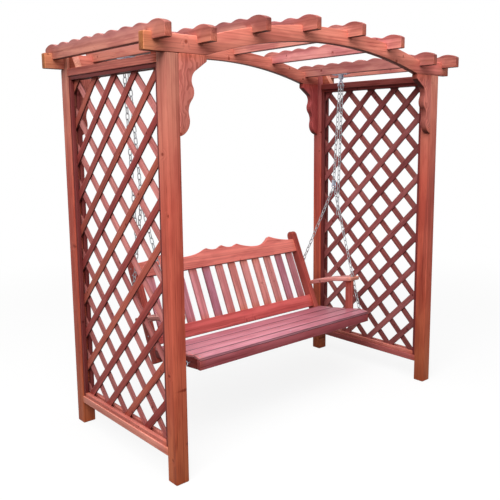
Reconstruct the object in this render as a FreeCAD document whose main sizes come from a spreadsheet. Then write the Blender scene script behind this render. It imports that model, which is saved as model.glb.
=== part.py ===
# Cedar garden arbor with a bench swing: posts, arches, scalloped rafters, lattice sides, chains and bench.
# Millimetres. X runs across the arbor, Y from front to back, Z up. The origin is on the ground, in the middle.
import FreeCAD, Part
import math
import os
import re
import Sketcher

Vector = FreeCAD.Vector
doc = FreeCAD.newDocument("garden_arbor")

# Driving sizes in millimetres, angles in degrees.
driving = {
    # posts and arches
    "post_size": 70, "arbor_width": 2000, "arbor_depth": 985, "post_height": 1950,
    "arch_thick": 38, "arch_depth": 78, "arch_rise": 113, "arch_half_span": 780, "arch_overhang": 103,
    # rafters: a notched board with a row of humps along its top
    "rafter_thick": 35, "rafter_length": 1121, "rafter_forward": 30, "rafter_notch": 33, "rafter_outset": 46,
    "rafter_mid_x": 500, "rafter_inner_x": 169, "rafter_edge": 70, "rafter_hump": 6.5, "scallop_count": 7,
    "scallop_gap": 46, "scallop_dip": 4.5, "nose_run": 113, "nose_drop": 12, "nose_crown": 13, "notch_play": 0.5,
    # brackets and gussets
    "bracket_drop": 352, "bracket_thick": 38, "bracket_nose": 28,
    "block_thick": 40, "block_base": 72, "block_crown": 28, "block_height": 68,
    # side walls
    "rail_height": 38, "bottom_rail_z": 124, "stop_size": 20,
    "slat_thick": 8, "slat_width": 38, "lattice_pitch": 190, "lattice_offset": 8, "lattice_angle": 45,
    # hangers under two of the rafters
    "hanger_x": 815, "hanger_y": 135, "hanger_length": 126, "hanger_width": 34, "hanger_plate": 4, "hanger_drop": 24,
    "ear_thick": 4, "ear_radius": 12, "pin_radius": 4, "pin_fit": 0.05, "pin_head": 3, "side_play": 0.4,
    "lag_spacing": 92, "lag_radius": 4, "lag_length": 48, "lag_head": 5, "lag_head_radius": 7,
    # hooks
    "barrel_radius": 9, "barrel_length": 15, "hook_thick": 8, "hook_neck": 14, "hook_reach": 52,
    "hook_bar": 8, "hook_eye_half": 22, "hook_eye_height": 26, "hook_seat": 1.7,
    # chains
    "link_wire": 5, "link_width": 22, "link_pitch": 30, "link_play": 0.3, "strand_offset": 13,
    "tail_length": 865, "tail_gap": 38, "upper_drop": 709, "chain_spread": 82,
    # shackles and rings
    "shackle_gap": 14, "shackle_ear": 5, "shackle_width": 16, "shackle_height": 26, "shackle_bar_radius": 4,
    "ring_radius": 17, "ring_wire": 7,
    # eye bolts
    "eye_radius": 12, "eye_wire": 6, "eye_shank": 30, "eye_shank_radius": 2.5,
    "front_eye_out": 28, "front_eye_back": 91, "front_eye_drop": 40, "back_eye_out": 18, "rear_eye_up": 427,
    # seat: a narrow front board that falls to the front and three boards that fall to the back, each less
    "bench_forward": 382, "seat_height": 472, "seat_width": 1344, "front_board": 57, "front_pitch": 7,
    "seat_board": 121, "seat_pitch": 9.6, "seat_flatten": 1.7, "seat_gap": 3, "board_thick": 16,
    "apron_thick": 28, "apron_foot": 65, "apron_inset": 2,
    "side_thick": 38, "side_slope": 5, "brace_thick": 38, "brace_raise": 14, "brace_back": 395,
    # back
    "back_lean": 24.2, "back_gap": 10, "stile_drop": 127, "stile_thick": 38, "stile_depth": 62,
    "stile_length": 642, "back_inset": 8, "back_rail_thick": 38, "lower_rail_up": 98, "lower_rail_height": 81,
    "crest_up": 496, "crest_end": 88, "crest_peak": 121, "crest_notch": 99, "crest_shoulder": 116,
    "crest_dip": 81, "crest_outer": 132, "crest_shoulder_x": 125, "crest_dip_x": 290, "crest_outer_x": 416,
    "back_slat_count": 12, "back_slat_width": 53, "back_slat_end": 41,
    "back_slat_thick": 19, "back_slat_set": 12,
    # arms
    "arm_thick": 24, "arm_width": 90, "arm_outset": 73, "arm_tip_back": 142, "arm_tip_rise": 199,
    "arm_mid_back": 285, "arm_mid_rise": 179, "arm_rear_rise": 121, "arm_crown": 4, "arm_hole_radius": 20,
    "arm_post_back": 143, "arm_post_depth": 56, "arm_post_thick": 20, "arm_post_foot": 46,
}

# Places and lengths that follow from the driving sizes.
derived = {
    "post_outer_x": "arbor_width / 2",
    "post_inner_x": "arbor_width / 2 - post_size",
    "post_outer_y": "arbor_depth / 2",
    "post_inner_y": "arbor_depth / 2 - post_size",
    "arch_inner_y": "arbor_depth / 2 - arch_thick",
    "arch_tail_x": "arbor_width / 2 + arch_overhang",
    "tail_top": "post_height + arch_depth",
    "arch_radius": "(arch_half_span ^ 2 + arch_rise ^ 2) / (2 * arch_rise)",
    "arch_top_radius": "arch_radius + arch_depth",
    "arch_centre_z": "post_height + arch_rise - arch_radius",
    "arch_meet_x": "sqrt(arch_top_radius ^ 2 - (tail_top - arch_centre_z) ^ 2)",
    "bracket_reach": "post_inner_x - arch_half_span",
    "rafter_back_y": "rafter_length / 2 - rafter_forward",
    "rafter_front_y": "-rafter_length / 2 - rafter_forward",
    "scallop_pitch": "(rafter_length - 2 * nose_run - scallop_gap) / scallop_count",
    "hump_half": "(scallop_pitch - scallop_gap) / 2",
    "hump_radius": "(hump_half ^ 2 + rafter_hump ^ 2) / (2 * rafter_hump)",
    "dip_radius": "((scallop_gap / 2) ^ 2 + scallop_dip ^ 2) / (2 * scallop_dip)",
    "nose_radius": "((nose_run ^ 2 + nose_drop ^ 2) / 4 + nose_crown ^ 2) / (2 * nose_crown)",
    "wall_x": "(arbor_width - post_size) / 2",
    "wall_low": "bottom_rail_z + rail_height",
    "wall_high": "post_height - rail_height",
    "wall_height": "wall_high - wall_low",
    "slat_length": "2 * (wall_height + 2 * post_inner_y)",
    "hanger_z": "tail_top - rafter_notch",
    "pivot_z": "hanger_z - hanger_drop",
    "hanger_gap": "barrel_length + 2 * side_play",
    "hook_bar_z": "pivot_z - hook_reach",
    "swing_z": "pivot_z - upper_drop",
    "swing_x": "seat_width / 2 + chain_spread",
    "shackle_bar_z": "swing_z + shackle_height",
    "ring_drop": "ring_radius - ring_wire / 2 - pin_radius - link_play",
    "seat_half": "seat_width / 2",
    "seat_front": "hanger_y - bench_forward",
    "front_step": "front_board + seat_gap",
    "seat_step": "seat_board + seat_gap",
    "mid_pitch": "seat_pitch - seat_flatten",
    "rear_pitch": "seat_pitch - 2 * seat_flatten",
    "ridge_y": "seat_front + front_step * cos(front_pitch)",
    "ridge_z": "seat_height + front_step * sin(front_pitch)",
    "mid_board_y": "ridge_y + seat_step * cos(seat_pitch)",
    "mid_board_z": "ridge_z - seat_step * sin(seat_pitch)",
    "rear_board_y": "mid_board_y + seat_step * cos(mid_pitch)",
    "rear_board_z": "mid_board_z - seat_step * sin(mid_pitch)",
    "seat_rear_y": "rear_board_y + seat_board * cos(rear_pitch) - board_thick * sin(rear_pitch)",
    "seat_rear_z": "rear_board_z - seat_board * sin(rear_pitch) - board_thick * cos(rear_pitch)",
    "apron_front_y": "seat_front + apron_inset",
    "apron_rear_y": "apron_front_y + apron_thick",
    "apron_low_z": "seat_height - apron_foot",
    "stile_foot_z": "seat_height - stile_drop",
    "stile_foot_y": "seat_rear_y + back_gap - (seat_rear_z - stile_foot_z) * tan(back_lean)",
    "back_slat_run": "seat_width - 2 * (stile_thick + back_slat_end) - back_slat_width",
    "back_slat_pitch": "back_slat_run / (back_slat_count - 1)",
    "arm_rear_z": "seat_height + arm_rear_rise",
    "arm_rear_y": "stile_foot_y + (arm_rear_z - stile_foot_z) * tan(back_lean)",
    "arm_low_rear_y": "arm_rear_y - arm_thick * tan(back_lean)",
    "arm_tip_y": "seat_front + arm_tip_back",
    "arm_tip_z": "seat_height + arm_tip_rise",
    "arm_mid_y": "seat_front + arm_mid_back",
    "arm_mid_z": "seat_height + arm_mid_rise",
    "arm_fall": "(arm_tip_z - arm_mid_z) / (arm_mid_y - arm_tip_y)",
    "arm_post_y": "seat_front + arm_post_back",
    "ring_z": "swing_z - ring_drop",
    "arm_chain_share": "(ring_z - arm_mid_z) / (ring_z - seat_height + front_eye_drop)",
    "arm_chain_x": "swing_x + (seat_half + front_eye_out - swing_x) * arm_chain_share",
    "arm_chain_y": "hanger_y + (seat_front + front_eye_back - hanger_y) * arm_chain_share",
}


def make_sheet(name, rows):
    sheet = doc.addObject("Spreadsheet::Sheet", name)
    for row, (alias, content) in enumerate(rows.items(), start=1):
        sheet.set(f"A{row}", alias)
        sheet.set(f"B{row}", content)
        sheet.setAlias(f"B{row}", alias)
    doc.recompute()
    return sheet


def cells(text):
    """Write each size's name in a formula with the sheet that holds it."""
    def with_sheet(match):
        word = match.group(0)
        if word in driving:
            return f"dim.{word}"
        return f"place.{word}" if word in derived else word
    return re.sub(r"[a-z][a-z0-9_]*", with_sheet, str(text))


dim = make_sheet("dim", {alias: str(number) for alias, number in driving.items()})
place = make_sheet("place", {alias: f"={cells(formula)}" for alias, formula in derived.items()})


def value(text):
    return float(dim.evalExpression(cells(text)))


def bind(item, **formulas):
    """Bind properties to the sheets; an underscore in a name stands for a dot."""
    for name, formula in formulas.items():
        item.setExpression(name.replace("_", "."), cells(formula))


base_y = {}


def set_base(item, x="0", y="0", z="0"):
    base_y[item.Name] = y
    bind(item, Placement_Base_x=x, Placement_Base_y=y, Placement_Base_z=z)


def tilt(item, angle):
    """Turn an item about the X axis."""
    item.Placement = FreeCAD.Placement(Vector(), FreeCAD.Rotation(Vector(1, 0, 0), 1))
    bind(item, Placement_Rotation_Angle=f"({angle}) * 1deg")


nodes = []


def node(item):
    nodes.append(item)
    return item


# Building blocks

def block(label, size, corner):
    """A rectangular piece with its lowest corner at corner."""
    item = doc.addObject("Part::Box", label)
    bind(item, Length=size[0], Width=size[1], Height=size[2])
    set_base(item, *corner)
    return item


def rod(label, radius, length, x, y, z):
    """A round bar along X that starts at x."""
    item = doc.addObject("Part::Cylinder", label)
    item.Placement = FreeCAD.Placement(Vector(), FreeCAD.Rotation(Vector(0, 1, 0), 90))
    bind(item, Radius=radius, Height=length)
    set_base(item, x, y, z)
    return item


def arc_between(start, end, radius, turn):
    """The short arc from start to end; turn is 1 anticlockwise and -1 clockwise."""
    chord = end - start
    height = math.sqrt(max(radius ** 2 - (chord.Length / 2) ** 2, 0))
    across = Vector(-chord.y, chord.x, 0).normalize()
    centre = (start + end) / 2 + across * height * turn
    first, last = (start, end) if turn > 0 else (end, start)
    angles = [math.atan2(point.y - centre.y, point.x - centre.x) for point in (first, last)]
    return Part.ArcOfCircle(Part.Circle(centre, Vector(0, 0, 1), radius), *angles)


def draw_loop(sketch, corners, mirror):
    """Draw a closed outline. A corner is (u, v), or (u, v, radius, turn) where an arc leads to the next one."""
    first = sketch.GeometryCount
    points = [Vector(mirror * value(corner[0]), value(corner[1]), 0) for corner in corners]
    shapes, starts, bound = [], [], []
    for index, corner in enumerate(corners):
        following = points[(index + 1) % len(points)]
        if len(corner) == 2:
            shapes.append(Part.LineSegment(points[index], following))
            starts.append(1)
        else:
            turn = corner[3] * mirror
            shapes.append(arc_between(points[index], following, value(corner[2]), turn))
            starts.append(1 if turn > 0 else 2)
    sketch.addGeometry(shapes, False)
    constraints = []
    for index in range(len(corners)):
        after = (index + 1) % len(corners)
        ends = (first + index, 3 - starts[index], first + after, starts[after])
        constraints.append(Sketcher.Constraint("Coincident", *ends))
    for index, corner in enumerate(corners):
        at = (first + index, starts[index])
        bound.append((len(constraints), f"{mirror} * ({corner[0]})"))
        constraints.append(Sketcher.Constraint("DistanceX", *at, points[index].x))
        bound.append((len(constraints), corner[1]))
        constraints.append(Sketcher.Constraint("DistanceY", *at, points[index].y))
        if len(corner) == 4:
            bound.append((len(constraints), corner[2]))
            constraints.append(Sketcher.Constraint("Radius", first + index, value(corner[2])))
    offset = sketch.ConstraintCount
    sketch.addConstraint(constraints)
    for index, formula in bound:
        sketch.setExpression(f"Constraints[{offset + index}]", cells(formula))


def board(label, plane, loops, thick, mirror=1):
    """A flat board: outlines on an origin plane, padded by its thickness (along +X from YZ, -Y from XZ)."""
    body = doc.addObject("PartDesign::Body", label)
    sketch = body.newObject("Sketcher::SketchObject", f"{label}_outline")
    origin_plane = [item for item in body.Origin.OriginFeatures if item.Role == plane][0]
    sketch.AttachmentSupport = [(origin_plane, "")]
    sketch.MapMode = "FlatFace"
    for corners in loops:
        draw_loop(sketch, corners, mirror)
    pad = body.newObject("PartDesign::Pad", f"{label}_pad")
    pad.Profile = sketch
    bind(pad, Length=thick)
    return body


def group(label, items):
    gathered = doc.addObject("Part::Compound", label)
    gathered.Links = items
    return node(gathered)


def fused(label, items):
    joined = doc.addObject("Part::MultiFuse", label)
    joined.Shapes = items
    return joined


def bored(label, base, tool):
    cut = doc.addObject("Part::Cut", label)
    cut.Base = base
    cut.Tool = tool
    return cut


sides = {"left": -1, "right": 1}
ends = {"front": -1, "back": 1}


# Arbor: posts, arches, rafters, brackets and gussets

def make_post(end, along, side, across):
    outline = [("post_inner_y", "0"), ("post_outer_y", "0"), ("post_outer_y", "post_height"),
               ("arch_inner_y", "post_height"), ("arch_inner_y", "tail_top"), ("post_inner_y", "tail_top")]
    post = node(board(f"post_{end}_{side}", "YZ_Plane", [outline], "post_size", along))
    set_base(post, x="post_inner_x" if across > 0 else "-post_outer_x")


def make_arch(end, along):
    outline = [("-arch_tail_x", "post_height"), ("-arch_half_span", "post_height", "arch_radius", -1),
               ("arch_half_span", "post_height"), ("arch_tail_x", "post_height"), ("arch_tail_x", "tail_top"),
               ("arch_meet_x", "tail_top", "arch_top_radius", 1), ("-arch_meet_x", "tail_top"),
               ("-arch_tail_x", "tail_top")]
    arch = node(board(f"arch_{end}", "XZ_Plane", [outline], "arch_thick"))
    set_base(arch, y="post_outer_y" if along > 0 else "-arch_inner_y")


def make_bracket(end, along, side, across):
    """A knee bracket with a scroll-cut edge, in shares of its reach and drop."""
    def corner(reach, drop, *arc):
        return (f"post_inner_x - {reach} * bracket_reach", f"post_height - {drop} * bracket_drop", *arc)
    outline = [("arch_half_span", "post_height"), ("arch_half_span", "post_height - bracket_nose"),
               corner(0.59, 0.20, "bracket_drop * 0.145", -1), corner(0.48, 0.385, "bracket_drop * 0.15", 1),
               corner(0.44, 0.555, "bracket_drop * 0.21", -1), corner(0.333, 0.755, "bracket_drop * 0.195", 1),
               corner(0, 1), corner(0, 0)]
    bracket = node(board(f"bracket_{end}_{side}", "XZ_Plane", [outline], "bracket_thick", across))
    set_base(bracket, y="post_outer_y" if along > 0 else "bracket_thick - post_outer_y")


def rafter_top():
    """Humps and dips from the back end of a rafter to its front end; the end humps fall away to the noses."""
    corners = [("rafter_back_y", "rafter_edge - nose_drop", "nose_radius", 1)]
    for index in range(int(value("scallop_count"))):
        start = f"rafter_back_y - nose_run - {index} * scallop_pitch"
        corners.append((start, "rafter_edge", "dip_radius", -1))
        corners.append((f"{start} - scallop_gap", "rafter_edge", "hump_radius", 1))
    corners.append(("rafter_front_y + nose_run + scallop_gap", "rafter_edge", "dip_radius", -1))
    corners.append(("rafter_front_y + nose_run", "rafter_edge", "nose_radius", 1))
    return corners + [("rafter_front_y", "rafter_edge - nose_drop")]


def make_rafter(number, centre_x, seat_z):
    def notch(near, far):
        return [(near, "0"), (near, "rafter_notch"), (far, "rafter_notch"), (far, "0")]
    front = notch("-post_outer_y - notch_play", "-arch_inner_y + notch_play")
    back = notch("arch_inner_y - notch_play", "post_outer_y + notch_play")
    outline = [("rafter_front_y", "0")] + front + back + [("rafter_back_y", "0")] + rafter_top()
    rafter = node(board(f"rafter_{number}", "YZ_Plane", [outline], "rafter_thick"))
    set_base(rafter, x=f"{centre_x} - rafter_thick / 2", z=f"{seat_z} - rafter_notch")


def on_arch(place_x):
    """Height of the arch under the higher edge of a rafter at place_x."""
    return f"(arch_centre_z + sqrt(arch_top_radius ^ 2 - ({place_x} - rafter_thick / 2) ^ 2))"


for end, along in ends.items():
    for side, across in sides.items():
        make_post(end, along, side, across)
        make_bracket(end, along, side, across)
    make_arch(end, along)

rafter_seats = [("(post_outer_x + rafter_outset)", "tail_top"), ("hanger_x", "tail_top"),
                ("rafter_mid_x", on_arch("rafter_mid_x")), ("rafter_inner_x", on_arch("rafter_inner_x"))]
for number, (centre, seat) in enumerate(rafter_seats, start=1):
    make_rafter(number, f"-{centre}", seat)
    make_rafter(9 - number, centre, seat)


# Side walls: rails, crossed lattice slats, stops and gussets

def make_slat(label, low_x, crossing_z, lean):
    """A slat whose middle line crosses Y = 0 at crossing_z and rises to the back if lean is 1."""
    slat = doc.addObject("Part::Box", label)
    angle = f"{-lean} * lattice_angle"
    tilt(slat, angle)
    bind(slat, Length="slat_thick", Width="slat_width", Height="slat_length")
    set_base(slat, low_x, f"-slat_width / 2 * cos({angle}) + slat_length / 2 * sin({angle})",
             f"{crossing_z} - slat_width / 2 * sin({angle}) - slat_length / 2 * cos({angle})")
    return slat


def make_lattice(side, layer, lean, low_x):
    label = f"lattice_{side}_{layer}"
    pitch, offset = value("lattice_pitch"), value("lattice_offset")
    lowest = math.ceil((-value("post_inner_y") - offset) / pitch)
    highest = math.floor((value("wall_height") + value("post_inner_y") - offset) / pitch)
    slats = doc.addObject("Part::Compound", f"{label}_slats")
    slats.Links = [make_slat(f"{label}_slat_{step - lowest}", low_x,
                             f"wall_low + lattice_offset + ({step}) * lattice_pitch", lean)
                   for step in range(lowest, highest + 1)]
    opening = block(f"{label}_opening", ("slat_thick", "2 * post_inner_y", "wall_height"),
                    (low_x, "-post_inner_y", "wall_low"))
    trimmed = node(doc.addObject("Part::Common", label))
    trimmed.Base = slats
    trimmed.Tool = opening


def make_wall(side, across):
    low_x = "post_inner_x" if across > 0 else "-post_outer_x"
    length = "2 * post_inner_y"
    node(block(f"top_rail_{side}", ("post_size", length, "rail_height"), (low_x, "-post_inner_y", "wall_high")))
    node(block(f"bottom_rail_{side}", ("post_size", length, "rail_height"),
               (low_x, "-post_inner_y", "bottom_rail_z")))
    middle = f"{across} * wall_x"
    layers = {-1: f"{middle} - slat_thick", 1: middle}
    make_lattice(side, "outer", across, layers[across])
    make_lattice(side, "inner", -across, layers[-across])


def make_stops(side, across):
    """Square strips round the lattice, on both of its faces."""
    middle = f"{across} * wall_x"
    strips = []
    for face, low_x in {"low": f"{middle} - slat_thick - stop_size", "high": f"{middle} + slat_thick"}.items():
        for end, y in {"front": "-post_inner_y", "back": "post_inner_y - stop_size"}.items():
            strips.append(block(f"stop_{side}_{face}_{end}", ("stop_size", "stop_size", "wall_height"),
                                (low_x, y, "wall_low")))
        for edge, z in {"bottom": "wall_low", "top": "wall_high - stop_size"}.items():
            strips.append(block(f"stop_{side}_{face}_{edge}",
                                ("stop_size", "2 * post_inner_y - 2 * stop_size", "stop_size"),
                                (low_x, "stop_size - post_inner_y", z)))
    return strips


def make_gusset(end, along, side, across):
    outline = [("post_inner_y", "post_height"), ("post_inner_y", "post_height + block_height"),
               ("post_inner_y - block_crown", "post_height + block_height"),
               ("post_inner_y - block_base", "post_height")]
    gusset = board(f"corner_block_{end}_{side}", "YZ_Plane", [outline], "block_thick", along)
    set_base(gusset, x=f"{across} * wall_x - block_thick / 2")
    return gusset


for side, across in sides.items():
    make_wall(side, across)
group("lattice_stops", make_stops("left", -1) + make_stops("right", 1))
group("corner_blocks", [make_gusset(end, along, side, across)
                        for end, along in ends.items() for side, across in sides.items()])


# Hangers, their pins and bolts

def ear(label, thick, radius, height, x, y, z):
    """An upright strap with a round lower end about the pin; height is from the pin to its top."""
    outline = [(f"-({radius})", "0", radius, 1), ("0", f"-({radius})", radius, 1), (radius, "0"),
               (radius, height), (f"-({radius})", height)]
    strap = board(label, "YZ_Plane", [outline], thick)
    set_base(strap, x, y, z)
    return strap


def pair_of_ears(label, gap, thick, radius, height, x, y, z):
    return [ear(f"{label}_ear_low", thick, radius, height, f"{x} - {gap} / 2 - {thick}", y, z),
            ear(f"{label}_ear_high", thick, radius, height, f"{x} + {gap} / 2", y, z)]


def headed_pin(label, reach, x, y, z):
    """A pin along X with a flat head at each end; reach is the distance between the heads."""
    shank = rod(f"{label}_shank", "pin_radius", reach, f"{x} - ({reach}) / 2", y, z)
    heads = [rod(f"{label}_head_low", "1.5 * pin_radius", "pin_head", f"{x} - ({reach}) / 2 - pin_head", y, z),
             rod(f"{label}_head_high", "1.5 * pin_radius", "pin_head", f"{x} + ({reach}) / 2", y, z)]
    return fused(label, [shank] + heads)


def pin_hole(label, reach, x, y, z):
    return rod(f"{label}_hole", "pin_radius + pin_fit", f"2 * ({reach})", f"{x} - ({reach})", y, z)


def make_hanger(side, x):
    label = f"hanger_{side}"
    plate = block(f"{label}_plate", ("hanger_width", "hanger_length", "hanger_plate"),
                  (f"{x} - hanger_width / 2", "hanger_y - hanger_length / 2", "hanger_z - hanger_plate"))
    ears = pair_of_ears(label, "hanger_gap", "ear_thick", "ear_radius", "hanger_drop - hanger_plate / 2",
                        x, "hanger_y", "pivot_z")
    hole = pin_hole(label, "hanger_width", x, "hanger_y", "pivot_z")
    node(bored(label, fused(f"{label}_blank", [plate] + ears), hole))


def make_lag_bolt(label, x, y):
    shank = doc.addObject("Part::Cylinder", f"{label}_shank")
    bind(shank, Radius="lag_radius", Height="lag_length")
    set_base(shank, x, y, "hanger_z - hanger_plate")
    head = doc.addObject("Part::Prism", f"{label}_head")
    head.Polygon = 6
    bind(head, Circumradius="lag_head_radius", Height="lag_head")
    set_base(head, x, y, "hanger_z - hanger_plate - lag_head")
    return fused(label, [shank, head])


hanger_reach = "hanger_gap + 2 * ear_thick + 2 * side_play"
hanger_places = {side: f"{across} * hanger_x" for side, across in sides.items()}
for side, x in hanger_places.items():
    make_hanger(side, x)
group("hanger_pins", [headed_pin(f"hanger_pin_{side}", hanger_reach, x, "hanger_y", "pivot_z")
                      for side, x in hanger_places.items()])
group("hanger_bolts", [make_lag_bolt(f"hanger_bolt_{end}_{side}", x, f"hanger_y + {along} * lag_spacing / 2")
                       for end, along in ends.items() for side, x in hanger_places.items()])


# Hooks, shackles and rings

def make_hook(side, x):
    """An eye on the hanger pin, with a triangular loop below that ends in a straight bar."""
    label = f"hook_{side}"
    low = "-(hook_reach + hook_bar / 2)"
    bar_top = "(hook_bar / 2 - hook_reach)"
    outer_half = "(hook_eye_half + hook_bar)"
    shoulder = f"{bar_top} + hook_eye_height + hook_bar / 2"
    outline = [(f"-{outer_half}", low), (outer_half, low), (outer_half, bar_top), ("hook_neck / 2", shoulder),
               ("hook_neck / 2", "0"), ("-hook_neck / 2", "0"), ("-hook_neck / 2", shoulder),
               (f"-{outer_half}", bar_top)]
    loop = [("-hook_eye_half", bar_top), ("hook_eye_half", bar_top), ("0", f"{bar_top} + hook_eye_height")]
    plate = board(f"{label}_plate", "XZ_Plane", [outline, loop], "hook_thick")
    set_base(plate, x, "hanger_y + hook_thick / 2", "pivot_z")
    barrel = rod(f"{label}_barrel", "barrel_radius", "barrel_length", f"{x} - barrel_length / 2",
                 "hanger_y", "pivot_z")
    hole = pin_hole(label, "barrel_length", x, "hanger_y", "pivot_z")
    node(bored(label, fused(f"{label}_blank", [plate, barrel]), hole))


def make_shackle(side, x):
    """Two straps on the shackle pin, joined by a round bar that carries the upper chain."""
    label = f"shackle_{side}"
    straps = pair_of_ears(label, "shackle_gap", "shackle_ear", "shackle_width / 2",
                          "shackle_height + shackle_bar_radius", x, "hanger_y", "swing_z")
    bar = rod(f"{label}_bar", "shackle_bar_radius", "shackle_gap + shackle_ear",
              f"{x} - shackle_gap / 2 - shackle_ear / 2", "hanger_y", "shackle_bar_z")
    hole = pin_hole(label, "shackle_gap + 2 * shackle_ear", x, "hanger_y", "swing_z")
    node(bored(label, fused(f"{label}_blank", straps + [bar]), hole))


def make_ring(side, x):
    ring = node(doc.addObject("Part::Torus", f"ring_{side}"))
    ring.Placement = FreeCAD.Placement(Vector(), FreeCAD.Rotation(Vector(0, 1, 0), 90))
    bind(ring, Radius1="ring_radius", Radius2="ring_wire / 2")
    set_base(ring, x, "hanger_y", "swing_z - ring_drop")


shackle_reach = "shackle_gap + 2 * shackle_ear + 2 * side_play"
swing_places = {side: f"{across} * swing_x" for side, across in sides.items()}
for side in sides:
    make_hook(side, hanger_places[side])
    make_shackle(side, swing_places[side])
    make_ring(side, swing_places[side])
group("shackle_pins", [headed_pin(f"shackle_pin_{side}", shackle_reach, x, "hanger_y", "swing_z")
                       for side, x in swing_places.items()])


# Chains: welded links, each a quarter turn from the one before

def link_solid(inner_length):
    """One link, lying along X and as wide as link_width along Y."""
    wire = value("link_wire / 2")
    bend = value("(link_width - link_wire) / 2")
    half = inner_length / 2 + wire - bend
    corner = {(x, y): Vector(x * half, y * bend, 0) for x in (-1, 1) for y in (-1, 1)}
    edges = [Part.LineSegment(corner[-1, 1], corner[1, 1]),
             Part.Arc(corner[1, 1], Vector(half + bend, 0, 0), corner[1, -1]),
             Part.LineSegment(corner[1, -1], corner[-1, -1]),
             Part.Arc(corner[-1, -1], Vector(-half - bend, 0, 0), corner[-1, 1])]
    path = Part.Wire([edge.toShape() for edge in edges])
    section = Part.Wire([Part.Circle(corner[-1, 1], Vector(1, 0, 0), wire).toShape()])
    return path.makePipeShell([section], True, False)


def square_to(axis, direction):
    across = axis - direction * axis.dot(direction)
    return across.normalize()


def strand(start, end, bars, first_axis, odd=None):
    """Links from a bar at start to a bar at end, with the bars' radii; the pitch is eased to a whole count."""
    play = value("link_play")
    run = end - start
    length = run.Length + sum(bars) + play
    count = round(length / value("link_pitch"))
    if odd is not None and count % 2 != odd:
        count += 1 if length / value("link_pitch") > count else -1
    pitch = length / count
    along = Vector(run).normalize()
    widths = [square_to(first_axis, along)]
    widths.append(along.cross(widths[0]))
    link = link_solid(pitch + play)
    links = []
    for index in range(count):
        centre = start + along * ((index + 0.5) * pitch - bars[0] - play / 2)
        width = widths[index % 2]
        turn = FreeCAD.Rotation(along, width, along.cross(width), "XYZ")
        copy = link.copy()
        copy.Placement = FreeCAD.Placement(centre, turn)
        links.append(copy)
    return links


def chain(label, links):
    item = node(doc.addObject("Part::Feature", label))
    item.Shape = Part.makeCompound(links)


def point(x, y, z):
    return Vector(value(x), value(y), value(z))


def eye_place(across, end):
    """Centre of an eye bolt's eye: the front one on a seat side, the rear one on a stile."""
    x = f"{across} * (seat_half + {end}_eye_out)"
    if end == "front":
        return point(x, "seat_front + front_eye_back", "seat_height - front_eye_drop")
    return point(x, "stile_foot_y + rear_eye_up * sin(back_lean) + stile_depth / 2 * cos(back_lean)",
                 "stile_foot_z + rear_eye_up * cos(back_lean) - stile_depth / 2 * sin(back_lean)")


def make_eye_bolt(label, centre, toward, across, out):
    """An eye whose plane holds the pull of the chain, with a shank that runs into the wood."""
    eye = doc.addObject("Part::Torus", f"{label}_eye")
    normal = Vector(1, 0, 0).cross(toward)
    eye.Placement = FreeCAD.Placement(centre, FreeCAD.Rotation(Vector(0, 0, 1), normal))
    bind(eye, Radius1="eye_radius", Radius2="eye_wire / 2")
    reach = f"({out} + eye_shank - eye_radius)"
    start = f"{across} * (seat_half + {out} - eye_radius)"
    shank = rod(f"{label}_shank", "eye_shank_radius", reach, start if across < 0 else f"{start} - {reach}",
                centre.y, centre.z)
    return fused(label, [eye, shank])


eye_bolts = []
for side, across in sides.items():
    cross_x = Vector(1, 0, 0)
    cross_y = Vector(0, 1, 0)
    bar_radius = value("hook_bar / 2 + hook_seat")
    hook_bar = point(f"{hanger_places[side]} - {across} * strand_offset", "hanger_y", "hook_bar_z")
    shackle_bar = point(swing_places[side], "hanger_y", "shackle_bar_z")
    chain(f"upper_chain_{side}", strand(hook_bar, shackle_bar, (bar_radius, value("shackle_bar_radius")),
                                        cross_y, odd=1))
    tail_top_bar = point(f"{hanger_places[side]} + {across} * strand_offset", "hanger_y", "hook_bar_z")
    tail_end = point(f"{swing_places[side]} + {across} * tail_gap", "hanger_y", "hook_bar_z - tail_length")
    chain(f"chain_tail_{side}", strand(tail_top_bar, tail_end, (bar_radius, 0), cross_y))
    lower_links = []
    ring_centre = point(swing_places[side], "hanger_y", "swing_z - ring_drop")
    for end in ends:
        eye_centre = eye_place(across, end)
        pull = (ring_centre - eye_centre).normalize()
        on_eye = eye_centre + pull * value("eye_radius")
        on_ring = ring_centre - square_to(pull, cross_x) * value("ring_radius")
        bars = (value("ring_wire / 2"), value("eye_wire / 2"))
        lower_links += strand(on_ring, on_eye, bars, cross_x, odd=0)
        eye_bolts.append(make_eye_bolt(f"eye_bolt_{end}_{side}", eye_centre, pull, across, f"{end}_eye_out"))
    chain(f"lower_chain_{side}", lower_links)
group("eye_bolts", eye_bolts)


# Bench: points on the seat boards and on the leaning back

# Start of each seat board's top and the angle by which it falls to the back.
seat_starts = [("seat_front", "seat_height", "(-front_pitch)"), ("ridge_y", "ridge_z", "seat_pitch"),
               ("mid_board_y", "mid_board_z", "mid_pitch"), ("rear_board_y", "rear_board_z", "rear_pitch")]


def on_board(index, back, up):
    y, z, pitch = seat_starts[index]
    return (f"{y} + ({back}) * cos({pitch}) + ({up}) * sin({pitch})",
            f"{z} - ({back}) * sin({pitch}) + ({up}) * cos({pitch})")


def under_bend(index):
    """Where the undersides of a seat board and the one before it meet."""
    y, z, pitch = seat_starts[index]
    before = seat_starts[index - 1][2]
    drop = f"board_thick / cos(({pitch} - {before}) / 2)"
    return (f"{y} - {drop} * sin(({pitch} + {before}) / 2)", f"{z} - {drop} * cos(({pitch} + {before}) / 2)")


def under_board(index, y):
    """Height of a seat board's underside at y."""
    start_y, start_z, pitch = seat_starts[index]
    return f"({start_z} - ({y} - {start_y}) * tan({pitch}) - board_thick / cos({pitch}))"


def side_low(y):
    """Height of the lower edge of the seat sides at y."""
    return f"(apron_low_z - ({y} - apron_rear_y) * tan(side_slope))"


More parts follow.
